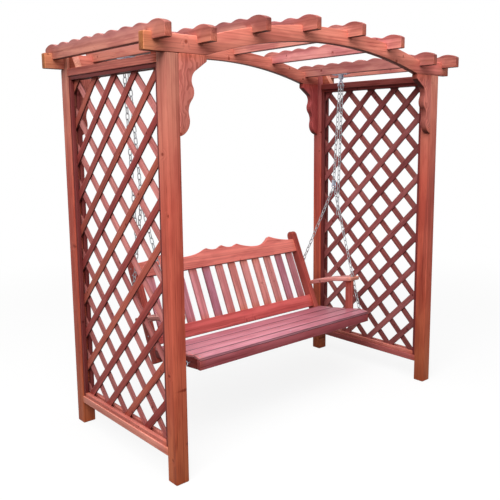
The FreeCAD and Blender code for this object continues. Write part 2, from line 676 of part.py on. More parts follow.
def at_stile(height, fall):
    """Where a line that falls to the back, and has that height at Y = 0, meets the front of the stiles."""
    y = f"((stile_foot_y + ({height} - stile_foot_z) * tan(back_lean)) / (1 + tan({fall}) * tan(back_lean)))"
    return (y, f"{height} - {y} * tan({fall})")


def on_back(up, behind):
    return (f"stile_foot_y + ({up}) * sin(back_lean) + ({behind}) * cos(back_lean)",
            f"stile_foot_z + ({up}) * cos(back_lean) - ({behind}) * sin(back_lean)")


def make_seat_board(index):
    width = "seat_board" if index else "front_board"
    outline = [on_board(index, "0", "-board_thick"), on_board(index, width, "-board_thick"),
               on_board(index, width, "0"), on_board(index, "0", "0")]
    plank = board(f"seat_board_{index + 1}", "YZ_Plane", [outline], "seat_width")
    set_base(plank, x="-seat_half")
    return plank


def make_front_rail():
    outline = [("apron_front_y", "apron_low_z"), ("apron_rear_y", "apron_low_z"),
               ("apron_rear_y", under_board(0, "apron_rear_y")), ("apron_front_y", under_board(0, "apron_front_y"))]
    rail = node(board("front_rail", "YZ_Plane", [outline], "seat_width"))
    set_base(rail, x="-seat_half")


def under_seat():
    """The upper edge of a seat side or the brace, from the last seat board to the front rail."""
    return [under_bend(3), under_bend(2), under_bend(1), ("apron_rear_y", under_board(0, "apron_rear_y"))]


def make_seat_side(side, across):
    outline = [("apron_rear_y", "apron_low_z"), at_stile(side_low("0"), "side_slope"),
               at_stile(under_board(3, "0"), "rear_pitch")] + under_seat()
    rail = node(board(f"seat_side_{side}", "YZ_Plane", [outline], "side_thick"))
    set_base(rail, x="seat_half - side_thick" if across > 0 else "-seat_half")


def make_seat_brace():
    rear = "(seat_front + brace_back)"
    outline = [("apron_rear_y", "apron_low_z + brace_raise"), (rear, f"{side_low(rear)} + brace_raise"),
               (rear, under_board(3, rear))] + under_seat()
    brace = node(board("seat_brace", "YZ_Plane", [outline], "brace_thick"))
    set_base(brace, x="-brace_thick / 2")


def make_stile(side, across):
    half = "stile_depth / 2"
    top = f"(stile_length - {half})"
    outline = [on_back("0", "0"), on_back("0", "stile_depth"), on_back(top, "stile_depth") + (half, 1),
               on_back("stile_length", half) + (half, 1), on_back(top, "0")]
    stile = node(board(f"back_stile_{side}", "YZ_Plane", [outline], "stile_thick"))
    set_base(stile, x="seat_half - stile_thick" if across > 0 else "-seat_half")


def lean_back(item, x, up, behind):
    """Stand an item on the leaning back, its own Z along the lean."""
    tilt(item, "-back_lean")
    y, z = on_back(up, behind)
    set_base(item, x, y, z)


def make_lower_rail():
    rail = node(doc.addObject("Part::Box", "lower_back_rail"))
    bind(rail, Length="seat_width - 2 * stile_thick", Width="back_rail_thick", Height="lower_rail_height")
    lean_back(rail, "stile_thick - seat_half", "lower_rail_up", "back_inset")


def scoop(run, rise):
    """Radius of an arc that starts level and climbs by rise over run."""
    return f"((({run}) ^ 2 + ({rise}) ^ 2) / (2 * ({rise})))"


def make_crest_rail():
    """The top rail of the back: hollow scoops that meet in a centre peak, two shoulders and two outer peaks."""
    half = "(seat_half - stile_thick)"
    end_scoop = scoop(f"{half} - crest_outer_x", "crest_outer - crest_end")
    outer_scoop = scoop("crest_outer_x - crest_dip_x", "crest_outer - crest_dip")
    inner_scoop = scoop("crest_dip_x - crest_shoulder_x", "crest_shoulder - crest_dip")
    small_scoop = scoop("crest_shoulder_x / 2", "crest_shoulder - crest_notch")
    outline = [(f"-{half}", "0"), (half, "0"), (half, "crest_end", end_scoop, -1),
               ("crest_outer_x", "crest_outer", outer_scoop, -1), ("crest_dip_x", "crest_dip", inner_scoop, -1),
               ("crest_shoulder_x", "crest_shoulder", small_scoop, -1), ("0", "crest_peak", small_scoop, -1),
               ("-crest_shoulder_x", "crest_shoulder", inner_scoop, -1),
               ("-crest_dip_x", "crest_dip", outer_scoop, -1), ("-crest_outer_x", "crest_outer", end_scoop, -1),
               (f"-{half}", "crest_end")]
    rail = node(board("crest_rail", "XZ_Plane", [outline], "back_rail_thick"))
    lean_back(rail, "0", "crest_up", "back_inset + back_rail_thick")


def make_back_slat(index):
    slat = doc.addObject("Part::Box", f"back_slat_{index + 1}")
    low = "(lower_rail_up + lower_rail_height)"
    bind(slat, Length="back_slat_width", Width="back_slat_thick", Height=f"crest_up - {low}")
    x = f"({index} - (back_slat_count - 1) / 2) * back_slat_pitch - back_slat_width / 2"
    lean_back(slat, x, low, "back_inset + back_slat_set")
    return slat


def make_arm(side, across):
    """An armrest that falls to the back, with a hole that lets the front chain through."""
    def crowned(run):
        return f"((({run}) / 2) ^ 2 + arm_crown ^ 2) / (2 * arm_crown)"
    outline = [("arm_tip_y", "arm_tip_z - arm_thick"), ("arm_mid_y", "arm_mid_z - arm_thick"),
               ("arm_low_rear_y", "arm_rear_z - arm_thick"),
               ("arm_rear_y", "arm_rear_z", crowned("arm_rear_y - arm_mid_y"), 1),
               ("arm_mid_y", "arm_mid_z", crowned("arm_mid_y - arm_tip_y"), 1), ("arm_tip_y", "arm_tip_z")]
    plank = board(f"arm_{side}_plank", "YZ_Plane", [outline], "arm_width")
    outer = "seat_half + arm_outset"
    set_base(plank, x=f"{outer} - arm_width" if across > 0 else f"-({outer})")
    hole = doc.addObject("Part::Cylinder", f"arm_{side}_hole")
    bind(hole, Radius="arm_hole_radius", Height="3 * arm_thick")
    set_base(hole, f"{across} * arm_chain_x", "arm_chain_y", "arm_mid_z - 2 * arm_thick")
    node(bored(f"arm_{side}", plank, hole))


def make_arm_post(side, across):
    """A post on the outside of a seat side, cut at the top to the slope of the arm."""
    def under_arm(y):
        return (y, f"arm_tip_z - arm_thick - ({y} - arm_tip_y) * arm_fall")
    rear = "(arm_post_y + arm_post_depth)"
    low = "seat_height - arm_post_foot"
    outline = [("arm_post_y", low), (rear, low), under_arm(rear), under_arm("arm_post_y")]
    post = board(f"arm_post_{side}", "YZ_Plane", [outline], "arm_post_thick")
    set_base(post, x="seat_half" if across > 0 else "-seat_half - arm_post_thick")
    return post


group("seat_boards", [make_seat_board(index) for index in range(len(seat_starts))])
make_front_rail()
make_seat_brace()
for side, across in sides.items():
    make_seat_side(side, across)
    make_stile(side, across)
    make_arm(side, across)
make_lower_rail()
make_crest_rail()
group("back_slats", [make_back_slat(index) for index in range(int(value("back_slat_count")))])
group("arm_posts", [make_arm_post(side, across) for side, across in sides.items()])

# The rafters reach further forward than back, so every node slides back to stand centred over the origin.
for item in nodes:
    bind(item, Placement_Base_y=f"{base_y.get(item.Name, '0')} + rafter_forward")

doc.recompute()
for item in doc.Objects:
    if "Invalid" in item.State or "Error" in item.State:
        raise RuntimeError(f"{item.Label} failed: {item.State}")
for item in nodes:
    if item.Shape.isNull() or not item.Shape.isValid():
        raise RuntimeError(f"{item.Label} has no valid shape")

os.makedirs("parts", exist_ok=True)
for item in nodes:
    item.Shape.exportStep(f"parts/{item.Label}.step")
print(f"{len(nodes)} nodes written")
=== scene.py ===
# Cedar arbor with a hanging bench: boards with eased edges, welded chain, stained cedar and zinced steel.
import math
import bpy
import numpy as np
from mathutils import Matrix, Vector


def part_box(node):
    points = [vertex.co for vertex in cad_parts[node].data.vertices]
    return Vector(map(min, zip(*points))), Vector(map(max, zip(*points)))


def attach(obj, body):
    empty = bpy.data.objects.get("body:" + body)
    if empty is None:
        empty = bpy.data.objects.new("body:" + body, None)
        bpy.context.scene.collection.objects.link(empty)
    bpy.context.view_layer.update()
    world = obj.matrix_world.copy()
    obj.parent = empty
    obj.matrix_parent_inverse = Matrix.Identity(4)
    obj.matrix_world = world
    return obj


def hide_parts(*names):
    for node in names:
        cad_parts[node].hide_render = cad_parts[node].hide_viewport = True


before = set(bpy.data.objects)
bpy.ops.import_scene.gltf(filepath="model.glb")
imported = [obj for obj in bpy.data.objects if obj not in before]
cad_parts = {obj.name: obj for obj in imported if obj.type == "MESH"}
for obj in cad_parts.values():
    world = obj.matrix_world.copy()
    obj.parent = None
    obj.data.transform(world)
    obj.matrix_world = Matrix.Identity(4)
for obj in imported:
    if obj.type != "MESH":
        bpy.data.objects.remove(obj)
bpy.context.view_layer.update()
scene = bpy.context.scene
dice = np.random.default_rng(53)
sides = {"left": -1, "right": 1}
ends = {"front": -1, "back": 1}
acrossX, alongY, upZ = np.eye(3)
standBack = 0.030 * alongY  # the posts stand this far back, because the rafters reach further forward
nearlyAlong = 0.9  # two unit directions count as one line from this cosine on
print("frame loaded:", len(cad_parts), "nodes")


# One value for each corner: front left, front right, back left, back right.
def byCorner(*values):
    return dict(zip([(end, side) for end in ends for side in sides], values))


# Colours are written as they look on screen, from 0 to 255.
def tint(red, green, blue):
    level = np.array([red, green, blue]) / 255
    return np.where(level <= 0.04045, level / 12.92, ((level + 0.055) / 1.055) ** 2.4)


def unit(vectors):
    vectors = np.asarray(vectors, float)
    return vectors / np.linalg.norm(vectors, axis=-1, keepdims=True)


# Materials

def put(tree, kind, inputs=None, **settings):
    made = tree.nodes.new("ShaderNode" + kind)
    for key, setting in settings.items():
        setattr(made, key, setting)
    for key, given in (inputs or {}).items():
        if isinstance(given, bpy.types.NodeSocket):
            tree.links.new(given, made.inputs[key])
        else:
            made.inputs[key].default_value = given
    return made


def reckon(tree, operation, first, second, clamp=False):
    return put(tree, "Math", {0: first, 1: second}, operation=operation, use_clamp=clamp).outputs[0]


def stretched(tree, vector, scale):
    return put(tree, "VectorMath", {0: vector, 1: scale}, operation="MULTIPLY").outputs[0]


def remap(tree, value, fromLow, fromHigh, toLow, toHigh):
    limits = {"Value": value, "From Min": fromLow, "From Max": fromHigh, "To Min": toLow, "To Max": toHigh}
    return put(tree, "MapRange", limits, interpolation_type="SMOOTHSTEP").outputs[0]


def multiplied(tree, share, first, second):
    mixed = put(tree, "Mix", {0: share, 6: first, 7: second}, data_type="RGBA", blend_type="MULTIPLY")
    return mixed.outputs[2]  # 6, 7 and 2 are the sockets for colours


def clearTree(owner):
    owner.use_nodes = True
    owner.node_tree.nodes.clear()
    return owner.node_tree


def newMaterial(name):
    material = bpy.data.materials.new(name)
    tree = clearTree(material)
    shader = put(tree, "BsdfPrincipled")
    tree.links.new(shader.outputs[0], put(tree, "OutputMaterial").inputs["Surface"])
    return material, tree, shader


# Three numbers are a noise's scale along and across the grain; two are where a change starts and ends.
cedarSpec = {
    "ringPitch": 0.011, "ringDepth": 0.26, "lateRise": (0.15, 0.88), "lateFall": (0.9, 1.0),
    "waves": (1.1, 6, 6), "waveMiddle": 0.5, "wander": 0.030,
    "knotCells": 15.0, "knotRare": 0.88, "knotSoft": 0.04, "knotHalo": (0.10, 0.50), "knotCore": (0.05, 0.15),
    "knotBend": 0.014, "knotDepth": 1.0,
    "bands": (0.7, 34, 34), "bandMiddle": 0.46, "bandDepth": 1.3,
    "streaks": (1.6, 105, 105), "streakMiddle": 0.48, "streakDepth": 1.1,
    "fibres": (9, 620, 620), "fibreMiddle": 0.5, "fibreDepth": 0.6,
    "cracks": (5, 190, 190), "crackEdge": (0.66, 0.72), "crackPatch": (0.48, 0.60), "crackDepth": 0.9,
    "mottle": (4, 15, 15), "mottleEdge": (0.44, 0.62), "mottleTint": (0.84, 0.74, 0.76, 1),
    "darkTint": (0.44, 0.29, 0.26, 1), "endReach": 0.05, "endTint": (0.97, 0.86, 0.72, 1), "paintedClimb": None,
    "glossSpan": (0.2, 0.8), "rough": (0.45, 0.65), "gloss": 0.14,
    "bumpLate": 0.4, "bumpStrength": 0.35, "bumpDepth": 0.0007,
}


# Cedar as a solid: yearly rings about a pith line, bent by slow waves and knots, with bands and fibres along the grain.
# The stain is darker in blotches and near a board's ends, and a climb gives it a tint at each height, which is painted
# light: paler higher up.
def cedarFinish(name, **changes):
    spec = {**cedarSpec, **changes}
    material, tree, shader = newMaterial(name)
    grain = put(tree, "Attribute", attribute_name="grain").outputs["Vector"]
    stain = put(tree, "Attribute", attribute_name="stain").outputs["Color"]

    def plus(first, second, clamp=False):
        return reckon(tree, "ADD", first, second, clamp)

    def times(first, second):
        return reckon(tree, "MULTIPLY", first, second)

    def noise(key, detail=2.0):
        scaled = stretched(tree, grain, spec[key])
        return put(tree, "TexNoise", {"Vector": scaled, "Scale": 1.0, "Detail": detail}).outputs["Fac"]

    def swing(value, middle, depth):
        return times(reckon(tree, "SUBTRACT", value, spec[middle]), spec[depth])

    def change(value, key, low, high):
        return remap(tree, value, *spec[key], low, high)

    waves, fibres = noise("waves", 3.0), noise("fibres")
    radius = put(tree, "VectorMath", {0: stretched(tree, grain, (0, 1, 1))}, operation="LENGTH").outputs["Value"]
    along, across, deep = put(tree, "SeparateXYZ", {0: grain}).outputs
    bearing = reckon(tree, "ARCTAN2", across, deep)
    around = put(tree, "CombineXYZ", {0: times(along, spec["knotCells"]), 1: bearing}).outputs[0]
    cells = put(tree, "TexVoronoi", {"Vector": around, "Scale": 1.0}, voronoi_dimensions="2D").outputs
    chance = put(tree, "SeparateXYZ", {0: cells["Color"]}).outputs[0]
    knotty = remap(tree, chance, spec["knotRare"], spec["knotRare"] + spec["knotSoft"], 0.0, 1.0)
    knotHalo = times(change(cells["Distance"], "knotHalo", 1.0, 0.0), knotty)
    knotCore = times(change(cells["Distance"], "knotCore", 1.0, 0.0), knotty)
    reach = plus(plus(radius, swing(waves, "waveMiddle", "wander")), times(knotHalo, spec["knotBend"]))
    ring = reckon(tree, "FRACT", reckon(tree, "DIVIDE", reach, spec["ringPitch"]), 0.0)
    late = times(change(ring, "lateRise", 0.0, 1.0), change(ring, "lateFall", 1.0, 0.0))
    cracks = times(change(noise("cracks", 1.0), "crackEdge", 0.0, spec["crackDepth"]),
                   change(waves, "crackPatch", 0.0, 1.0))
    broad = plus(swing(noise("bands"), "bandMiddle", "bandDepth"),
                 swing(noise("streaks"), "streakMiddle", "streakDepth"))
    fine = plus(swing(fibres, "fibreMiddle", "fibreDepth"), times(late, spec["ringDepth"]))
    marks = plus(times(knotCore, spec["knotDepth"]), cracks)
    dark = plus(plus(broad, fine), marks, clamp=True)
    colour = multiplied(tree, change(noise("mottle", 3.0), "mottleEdge", 0.0, 1.0), stain, spec["mottleTint"])
    colour = multiplied(tree, dark, colour, spec["darkTint"])
    # span holds the place along the board and half the board's length
    span = put(tree, "SeparateXYZ", {0: put(tree, "Attribute", attribute_name="span").outputs["Vector"]})
    fromEnd = reckon(tree, "SUBTRACT", span.outputs[1], reckon(tree, "ABSOLUTE", span.outputs[0], 0.0))
    colour = multiplied(tree, remap(tree, fromEnd, 0.0, spec["endReach"], 1.0, 0.0), colour, spec["endTint"])
    if spec["paintedClimb"]:
        height = put(tree, "SeparateXYZ", {0: put(tree, "TexCoord").outputs["Object"]}).outputs[2]
        tallest = spec["paintedClimb"][-1][0]
        ramp = put(tree, "ValToRGB", {"Fac": reckon(tree, "DIVIDE", height, tallest)})
        stops = ramp.color_ramp.elements
        while len(stops) < len(spec["paintedClimb"]):
            stops.new(0.5)
        for stop, (level, shade) in zip(stops, spec["paintedClimb"]):
            stop.position, stop.color = level / tallest, (*shade, 1)
        colour = multiplied(tree, 1.0, colour, ramp.outputs["Color"])
    tree.links.new(colour, shader.inputs["Base Color"])
    tree.links.new(change(fibres, "glossSpan", *spec["rough"]), shader.inputs["Roughness"])
    shader.inputs["Specular IOR Level"].default_value = spec["gloss"]
    relief = reckon(tree, "SUBTRACT", fibres, times(late, spec["bumpLate"]))
    bump = put(tree, "Bump", {"Height": relief, "Strength": spec["bumpStrength"], "Distance": spec["bumpDepth"]})
    tree.links.new(bump.outputs[0], shader.inputs["Normal"])
    return material


zincSpec = {"spangle": 420.0, "spangleShare": 0.5, "cloud": 60.0, "lift": 0.8, "deepShare": 0.55,
            "glossSpan": (0.3, 1.0), "rough": (0.28, 0.45),
            "colour": {"fitting_steel": tint(200, 206, 220), "chain_steel": tint(186, 189, 193)}}


# Zinced steel: a grey metal, mottled in shade and gloss by fine spangle.
def zincFinish(name):
    material, tree, shader = newMaterial(name)
    colour = zincSpec["colour"][name]
    spot = put(tree, "TexCoord").outputs["Object"]
    spangle = put(tree, "TexVoronoi", {"Vector": spot, "Scale": zincSpec["spangle"]}).outputs["Distance"]
    cloud = put(tree, "TexNoise", {"Vector": spot, "Scale": zincSpec["cloud"], "Detail": 3.0}).outputs["Fac"]
    shade = reckon(tree, "ADD", reckon(tree, "MULTIPLY", spangle, zincSpec["spangleShare"]), cloud)
    ramp = put(tree, "ValToRGB", {"Fac": reckon(tree, "MULTIPLY", shade, zincSpec["lift"])})
    for stop, tone in zip(ramp.color_ramp.elements, (colour * zincSpec["deepShare"], colour)):
        stop.color = (*tone, 1)
    tree.links.new(ramp.outputs["Color"], shader.inputs["Base Color"])
    tree.links.new(remap(tree, shade, *zincSpec["glossSpan"], *zincSpec["rough"]), shader.inputs["Roughness"])
    shader.inputs["Metallic"].default_value = 1.0
    return material


woodSpec = {
    # the posts' climb is painted light and shade: paler and pinker at the top, browner low
    "post_wood": {"bandDepth": 1.0,
                  "paintedClimb": [(0.0, tint(202, 110, 72)), (0.7, tint(206, 100, 78)), (1.3, tint(206, 100, 82)),
                            (2.0, tint(212, 142, 122))]},
    "bracket_wood": {"ringPitch": 0.009, "ringDepth": 0.5, "bandDepth": 0.5, "streakDepth": 0.4, "waves": (5, 9, 9),
                     "wander": 0.09},
    "arch_wood": {"endReach": 0.14, "endTint": (0.86, 0.97, 0.68, 1)},
    "rafter_wood": {"endReach": 0.20, "endTint": (0.84, 0.72, 0.64, 1), "mottleTint": (0.76, 0.64, 0.70, 1)},
    "rail_wood": {}, "lattice_falling_wood": {}, "lattice_rising_wood": {},
    "seat_wood": {"ringDepth": 0.10, "bandDepth": 0.9, "knotDepth": 0.1, "gloss": 0.5, "rough": (0.30, 0.45)},
    "apron_wood": {"ringDepth": 0.12}, "stile_wood": {}, "arm_wood": {"ringDepth": 0.15},
    "crest_wood": {"ringDepth": 0.18, "knotDepth": 0.4}, "back_slat_wood": {"ringDepth": 0.18, "knotDepth": 0.4},
}
finish = {slot: cedarFinish(slot, **changes) for slot, changes in woodSpec.items()}
finish.update({slot: zincFinish(slot) for slot in zincSpec["colour"]})
print("materials ready:", len(finish))


# Outlines

# Points on the short arc from start to end; turn is 1 anticlockwise, -1 clockwise, and the end point is left out.
def arcPoints(start, end, radius, turn, count=10):
    start, end = np.asarray(start, float), np.asarray(end, float)
    chord = end - start
    span = np.linalg.norm(chord)
    height = math.sqrt(max(radius ** 2 - (span / 2) ** 2, 0))
    centre = (start + end) / 2 + np.array([-chord[1], chord[0]]) / span * height * turn
    sweep = 2 * math.asin(min(span / 2 / radius, 1)) * turn * np.linspace(0, 1, count, endpoint=False)
    spoke = start - centre
    return centre + np.stack([spoke[0] * np.cos(sweep) - spoke[1] * np.sin(sweep),
                              spoke[0] * np.sin(sweep) + spoke[1] * np.cos(sweep)], 1)


# A corner is (u, v), or (u, v, radius, turn) where an arc leads to the next one, or (u, v, radius, turn, count).
def traceOutline(corners):
    runs = []
    for corner, following in zip(corners, corners[1:] + corners[:1]):
        if len(corner) == 2:
            runs.append(np.array([corner], float))
        else:
            runs.append(arcPoints(corner[:2], following[:2], *corner[2:]))
    return np.concatenate(runs)


cornerSpec = {"sharpFrom": math.radians(20), "reachShare": 0.45, "curve": np.linspace(0, 1, 4)}


# A sharp corner P becomes the curve (1-s)^2 (P+ta) + 2s(1-s) P + s^2 (P+tb), with a and b along its two edges.
def easeCorners(outline, radius):
    before = np.roll(outline, 1, 0) - outline
    after = np.roll(outline, -1, 0) - outline
    spans = np.minimum(np.linalg.norm(before, axis=1), np.linalg.norm(after, axis=1))
    before, after = unit(before), unit(after)
    turn = np.pi - np.arccos(np.clip((before * after).sum(1), -1, 1))
    reach = np.minimum(radius * np.tan(turn / 2), cornerSpec["reachShare"] * spans)[:, None, None]
    s = cornerSpec["curve"][None, :, None]
    peak = outline[:, None]
    arcs = ((1 - s) ** 2 * (peak + reach * before[:, None]) + 2 * s * (1 - s) * peak
            + s ** 2 * (peak + reach * after[:, None]))
    sharp = turn > cornerSpec["sharpFrom"]
    arcs[~sharp, 0] = outline[~sharp]
    keep = np.ones(arcs.shape[:2], bool)
    keep[~sharp, 1:] = False
    curved = sharp[:, None] & np.array([False, True, True, False])
    return arcs[keep], curved[keep]


# How far each corner moves along its mitre when every edge moves in by one.
def mitres(outline):
    forward = unit(np.roll(outline, -1, 0) - outline)
    inward = np.stack([-forward[:, 1], forward[:, 0]], 1)
    last = np.roll(inward, 1, 0)
    return (inward + last) / (1 + (inward * last).sum(1, keepdims=True))


def signedArea(outline):
    following = np.roll(outline, -1, 0)
    return (outline[:, 0] * following[:, 1] - following[:, 0] * outline[:, 1]).sum() / 2


# Keep the part of an outline where normal . p <= limit: kept corners and crossing points, in order.
def clipOutline(outline, normal, limit):
    depth = outline @ np.asarray(normal, float) - limit
    following, nextDepth = np.roll(outline, -1, 0), np.roll(depth, -1)
    inside = depth <= 0
    crossing = inside != (nextDepth <= 0)
    share = np.where(crossing, depth / np.where(crossing, depth - nextDepth, 1), 0)[:, None]
    both = np.stack([outline, outline + (following - outline) * share], 1)
    return both[np.stack([inside, crossing], 1)]


# Boards

boardSpec = {"ease": 0.003, "cornerEase": 1.7, "spread": 0.10, "wear": 1.22, "wearFrom": -0.2, "undersideShade": 0.72,
             "undersideShadeFrom": 0.5, "undersideShadeOver": 0.3, "endFrom": 0.75, "endOver": 0.2, "endShade": 0.9,
             "pithNear": 0.02, "pithFar": 0.10, "pithSide": 0.035, "grainShift": 60, "smoothTo": math.radians(25)}


# Faces between neighbours on grids of rows by columns, one grid after another. Columns close up, and rows if told.
def gridQuads(grids, rows, columns, closed=False):
    grid, row, column = np.meshgrid(np.arange(grids), np.arange(rows if closed else rows - 1), np.arange(columns),
                                    indexing="ij")

    def at(rowAt, columnAt):
        return (grid * rows + rowAt % rows) * columns + columnAt % columns
    quads = [at(row, column), at(row, column + 1), at(row + 1, column + 1), at(row + 1, column)]
    return np.stack(quads, -1).reshape(-1, 4)


# A board is an outline in the plane of uDir and vDir, carried along their cross product by its thickness.
# The two faces are drawn in by the ease, and four rings round each edge follow a quarter circle.
# The side factor paints light or shade on the edges round the two faces, and the corner factor paints shade on the
# eased corners of the outline; a crown is the colour of what lies above a line in v. Eased edges that face up get a
# painted highlight (a factor below one paints them darker), and undersides get painted shade.
def makeBoard(outline, origin, uDir, vDir, thick, grainDir, colour, endColour=None, ease=boardSpec["ease"],
              spread=boardSpec["spread"], sideShade=1.0, paintedCornerShade=1.0, crown=None, wear=boardSpec["wear"]):
    outline = np.asarray(outline, float)
    if signedArea(outline) < 0:
        outline = outline[::-1]
    outline, curved = easeCorners(outline, boardSpec["cornerEase"] * ease)
    count = len(outline)
    uDir, vDir, grainDir = unit(uDir), unit(vDir), unit(grainDir)
    nDir = np.cross(uDir, vDir)
    quarter = np.radians([0, 30, 60, 90])
    swell = np.concatenate([np.sin(quarter), np.sin(quarter)[::-1]])
    rise = ease * (1 - np.cos(quarter))
    depths = np.concatenate([rise, thick - rise[::-1]])
    rings, easedRings = len(depths), [1, 2, 5, 6]
    inward = mitres(outline)
    flat = outline[None] + (ease * (1 - swell))[:, None, None] * inward[None]
    points = (np.asarray(origin, float) + flat[..., :1] * uDir + flat[..., 1:] * vDir
              + depths[:, None, None] * nDir)
    caps = [np.arange(count)[::-1], (rings - 1) * count + np.arange(count)]
    # outward direction at each point, to find the end grain
    edgeOut = -unit(inward)
    edgeOut = edgeOut[:, :1] * uDir + edgeOut[:, 1:] * vDir
    faceSign = np.repeat([-1.0, 1.0], rings // 2) * np.sqrt(1 - swell ** 2)
    outward = swell[:, None, None] * edgeOut[None] + faceSign[:, None, None] * nDir
    facingEnd, facingUp = np.abs(outward @ grainDir)[..., None], (outward @ upZ)[..., None]
    endness = np.clip((facingEnd - boardSpec["endFrom"]) / boardSpec["endOver"], 0, 1)
    colour = np.asarray(colour) * (1 + spread * dice.uniform(-1, 1))
    endColour = colour * boardSpec["endShade"] if endColour is None else np.asarray(endColour)
    shown = colour * (1 - endness) + endColour * endness
    if crown is not None:
        shown = np.where(flat[..., 1:] > crown[0], crown[1], shown)
    # painted light or shade on the board's sides, round its two faces
    shown[1:-1] *= sideShade
    # painted highlight: eased edges that face up are lightened by this factor (on posts it is below one and darkens
    # them)
    shown[easedRings] *= np.where(facingUp[easedRings] > boardSpec["wearFrom"], wear, 1.0)
    # painted shade on undersides, deeper the more a face points down
    undersideShadeShare = np.clip((-facingUp - boardSpec["undersideShadeFrom"]) / boardSpec["undersideShadeOver"], 0, 1)
    shown *= 1 - boardSpec["undersideShade"] * undersideShadeShare
    # painted shade on the eased corners of the outline, which makes dark lines in the gaps between boards
    shown[:, curved] *= paintedCornerShade
    stain = np.concatenate([shown, endness], -1)
    # grain place: along the board, and from the pith line that runs beside it
    crossDir = np.cross(nDir, grainDir) if abs(nDir @ grainDir) < nearlyAlong else uDir
    deepDir = np.cross(grainDir, crossDir)
    middle = (points.reshape(-1, 3).max(0) + points.reshape(-1, 3).min(0)) / 2
    pithDeep = dice.choice([-1, 1]) * dice.uniform(boardSpec["pithNear"], boardSpec["pithFar"])
    pithSide = dice.uniform(-1, 1) * boardSpec["pithSide"]
    offset = points - middle
    along = offset @ grainDir
    grain = np.stack([along + dice.uniform(0, boardSpec["grainShift"]), offset @ crossDir - pithSide,
                      offset @ deepDir - pithDeep], -1)
    span = np.stack([along, np.full_like(along, np.abs(along).max()), 0 * along], -1)
    return {"points": points.reshape(-1, 3), "quads": gridQuads(1, rings, count), "caps": caps,
            "grain": grain.reshape(-1, 3), "span": span.reshape(-1, 3), "stain": stain.reshape(-1, 4)}


# Paints light and shade on a board along a direction: a shade, or one for each channel, at each place, and an even
# change between them.
def fadeBoard(board, direction, places, shades):
    shades = np.array([np.broadcast_to(shade, 3) for shade in shades])
    reached = board["points"] @ direction
    board["stain"][:, :3] *= np.stack([np.interp(reached, places, channel) for channel in shades.T], -1)
    return board


def rectangle(width, height, left=0.0, low=0.0):
    return np.array([[left, low], [left + width, low], [left + width, low + height], [left, low + height]])


# A board whose outline is its side view, in y and z; inner is how far from the middle it starts, to the side of across.
def sideBoard(outline, across, inner, thick, grainDir, colour, **more):
    startX = min(across * inner, across * (inner + thick))
    return makeBoard(outline, (startX, 0, 0), alongY, upZ, thick, grainDir, colour, **more)


# A square-edged stick that fills a box, with its grain along the longest side.
def makeStick(low, high, colour, **more):
    low, high = np.asarray(low, float), np.asarray(high, float)
    size = high - low
    grainDir = np.eye(3)[int(np.argmax(size))]
    return makeBoard(rectangle(size[1], size[2]), low, alongY, upZ, size[0], grainDir, colour, **more)


def nodeStick(node, colour):
    low, high = np.array(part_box(node)) - standBack
    return makeStick(low, high, colour)


def addAttribute(mesh, name, kind, values):
    key = {"FLOAT_VECTOR": "vector", "FLOAT_COLOR": "color"}[kind]
    mesh.attributes.new(name, kind, "CORNER").data.foreach_set(key, np.ascontiguousarray(values, np.float32).ravel())


def linkPiece(name, mesh, body, nodes, slot):
    piece = bpy.data.objects.new(name, mesh)
    scene.collection.objects.link(piece)
    mesh.materials.append(finish[slot])
    if nodes:
        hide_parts(*nodes)
    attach(piece, body)


def boardMesh(name, boards):
    starts = np.cumsum([0] + [len(board["points"]) for board in boards])
    faces = []
    for board, start in zip(boards, starts):
        faces += (board["quads"] + start).tolist() + [(cap + start).tolist() for cap in board["caps"]]
    mesh = bpy.data.meshes.new(name)
    points = np.concatenate([board["points"] for board in boards])
    mesh.from_pydata((points + standBack).tolist(), [], faces)
    vertices = np.empty(len(mesh.loops), np.int32)
    mesh.loops.foreach_get("vertex_index", vertices)
    for layer, kind in (("grain", "FLOAT_VECTOR"), ("span", "FLOAT_VECTOR"), ("stain", "FLOAT_COLOR")):
        addAttribute(mesh, layer, kind, np.concatenate([board[layer] for board in boards])[vertices])
    return mesh


# Cut one mesh out of another; both are thrown away and the cut mesh is kept.
def boredMesh(name, mesh, cutter):
    whole, drill = (bpy.data.objects.new(name + part, data) for part, data in (("_whole", mesh), ("_drill", cutter)))
    for item in (whole, drill):
        scene.collection.objects.link(item)
    cut = whole.modifiers.new("bore", "BOOLEAN")
    cut.operation, cut.solver, cut.object = "DIFFERENCE", "EXACT", drill
    bored = bpy.data.meshes.new_from_object(whole.evaluated_get(bpy.context.evaluated_depsgraph_get()))
    for item in (whole, drill):
        bpy.data.objects.remove(item)
    for spare in (mesh, cutter):
        bpy.data.meshes.remove(spare)
    bored.name = name
    return bored


def buildPiece(name, boards, body, node, slot, bore=None):
    mesh = boardMesh(name, boards)
    if bore is not None:
        mesh = boredMesh(name, mesh, boardMesh(name + "_drill", [bore]))
    mesh.shade_smooth()
    mesh.set_sharp_from_angle(angle=boardSpec["smoothTo"])
    linkPiece(name, mesh, body, [node], slot)


# A piece of one board is named after the node it stands for.
def buildBoard(node, board, body, slot, bore=None):
    buildPiece(f"{node}_board", [board], body, node, slot, bore)


# Posts, arches and brackets

# Posts carry painted light and shade: a level for each post, side faces lit more or less than the others, and light
# painted at each height, as on the lit top of the front right post.
postSpec = {"size": 0.070, "width": 2.000, "depth": 0.985, "height": 1.950, "ease": 0.004, "wear": 0.94,
            "end": (0.9, 0.9, 0.8), "shade": byCorner(1.0, 0.84, 0.88, 0.93),
            "paintedFaceLight": byCorner(1.0, 1.30, 1.0, 1.05), "levels": (0, 0.56, 0.94, 1.29, 1.58, 1.80),
            "paintedLevelLight": byCorner([1] * 6, (0.92, 0.97, (0.86, 0.91, 0.96), (0.70, 0.78, 0.86), 1.05, 1.26), [1] * 6,
                                   (1.0, 1.15, 1.25, 1.28, (0.82, 0.65, 0.78), (0.74, 0.55, 0.73)))}
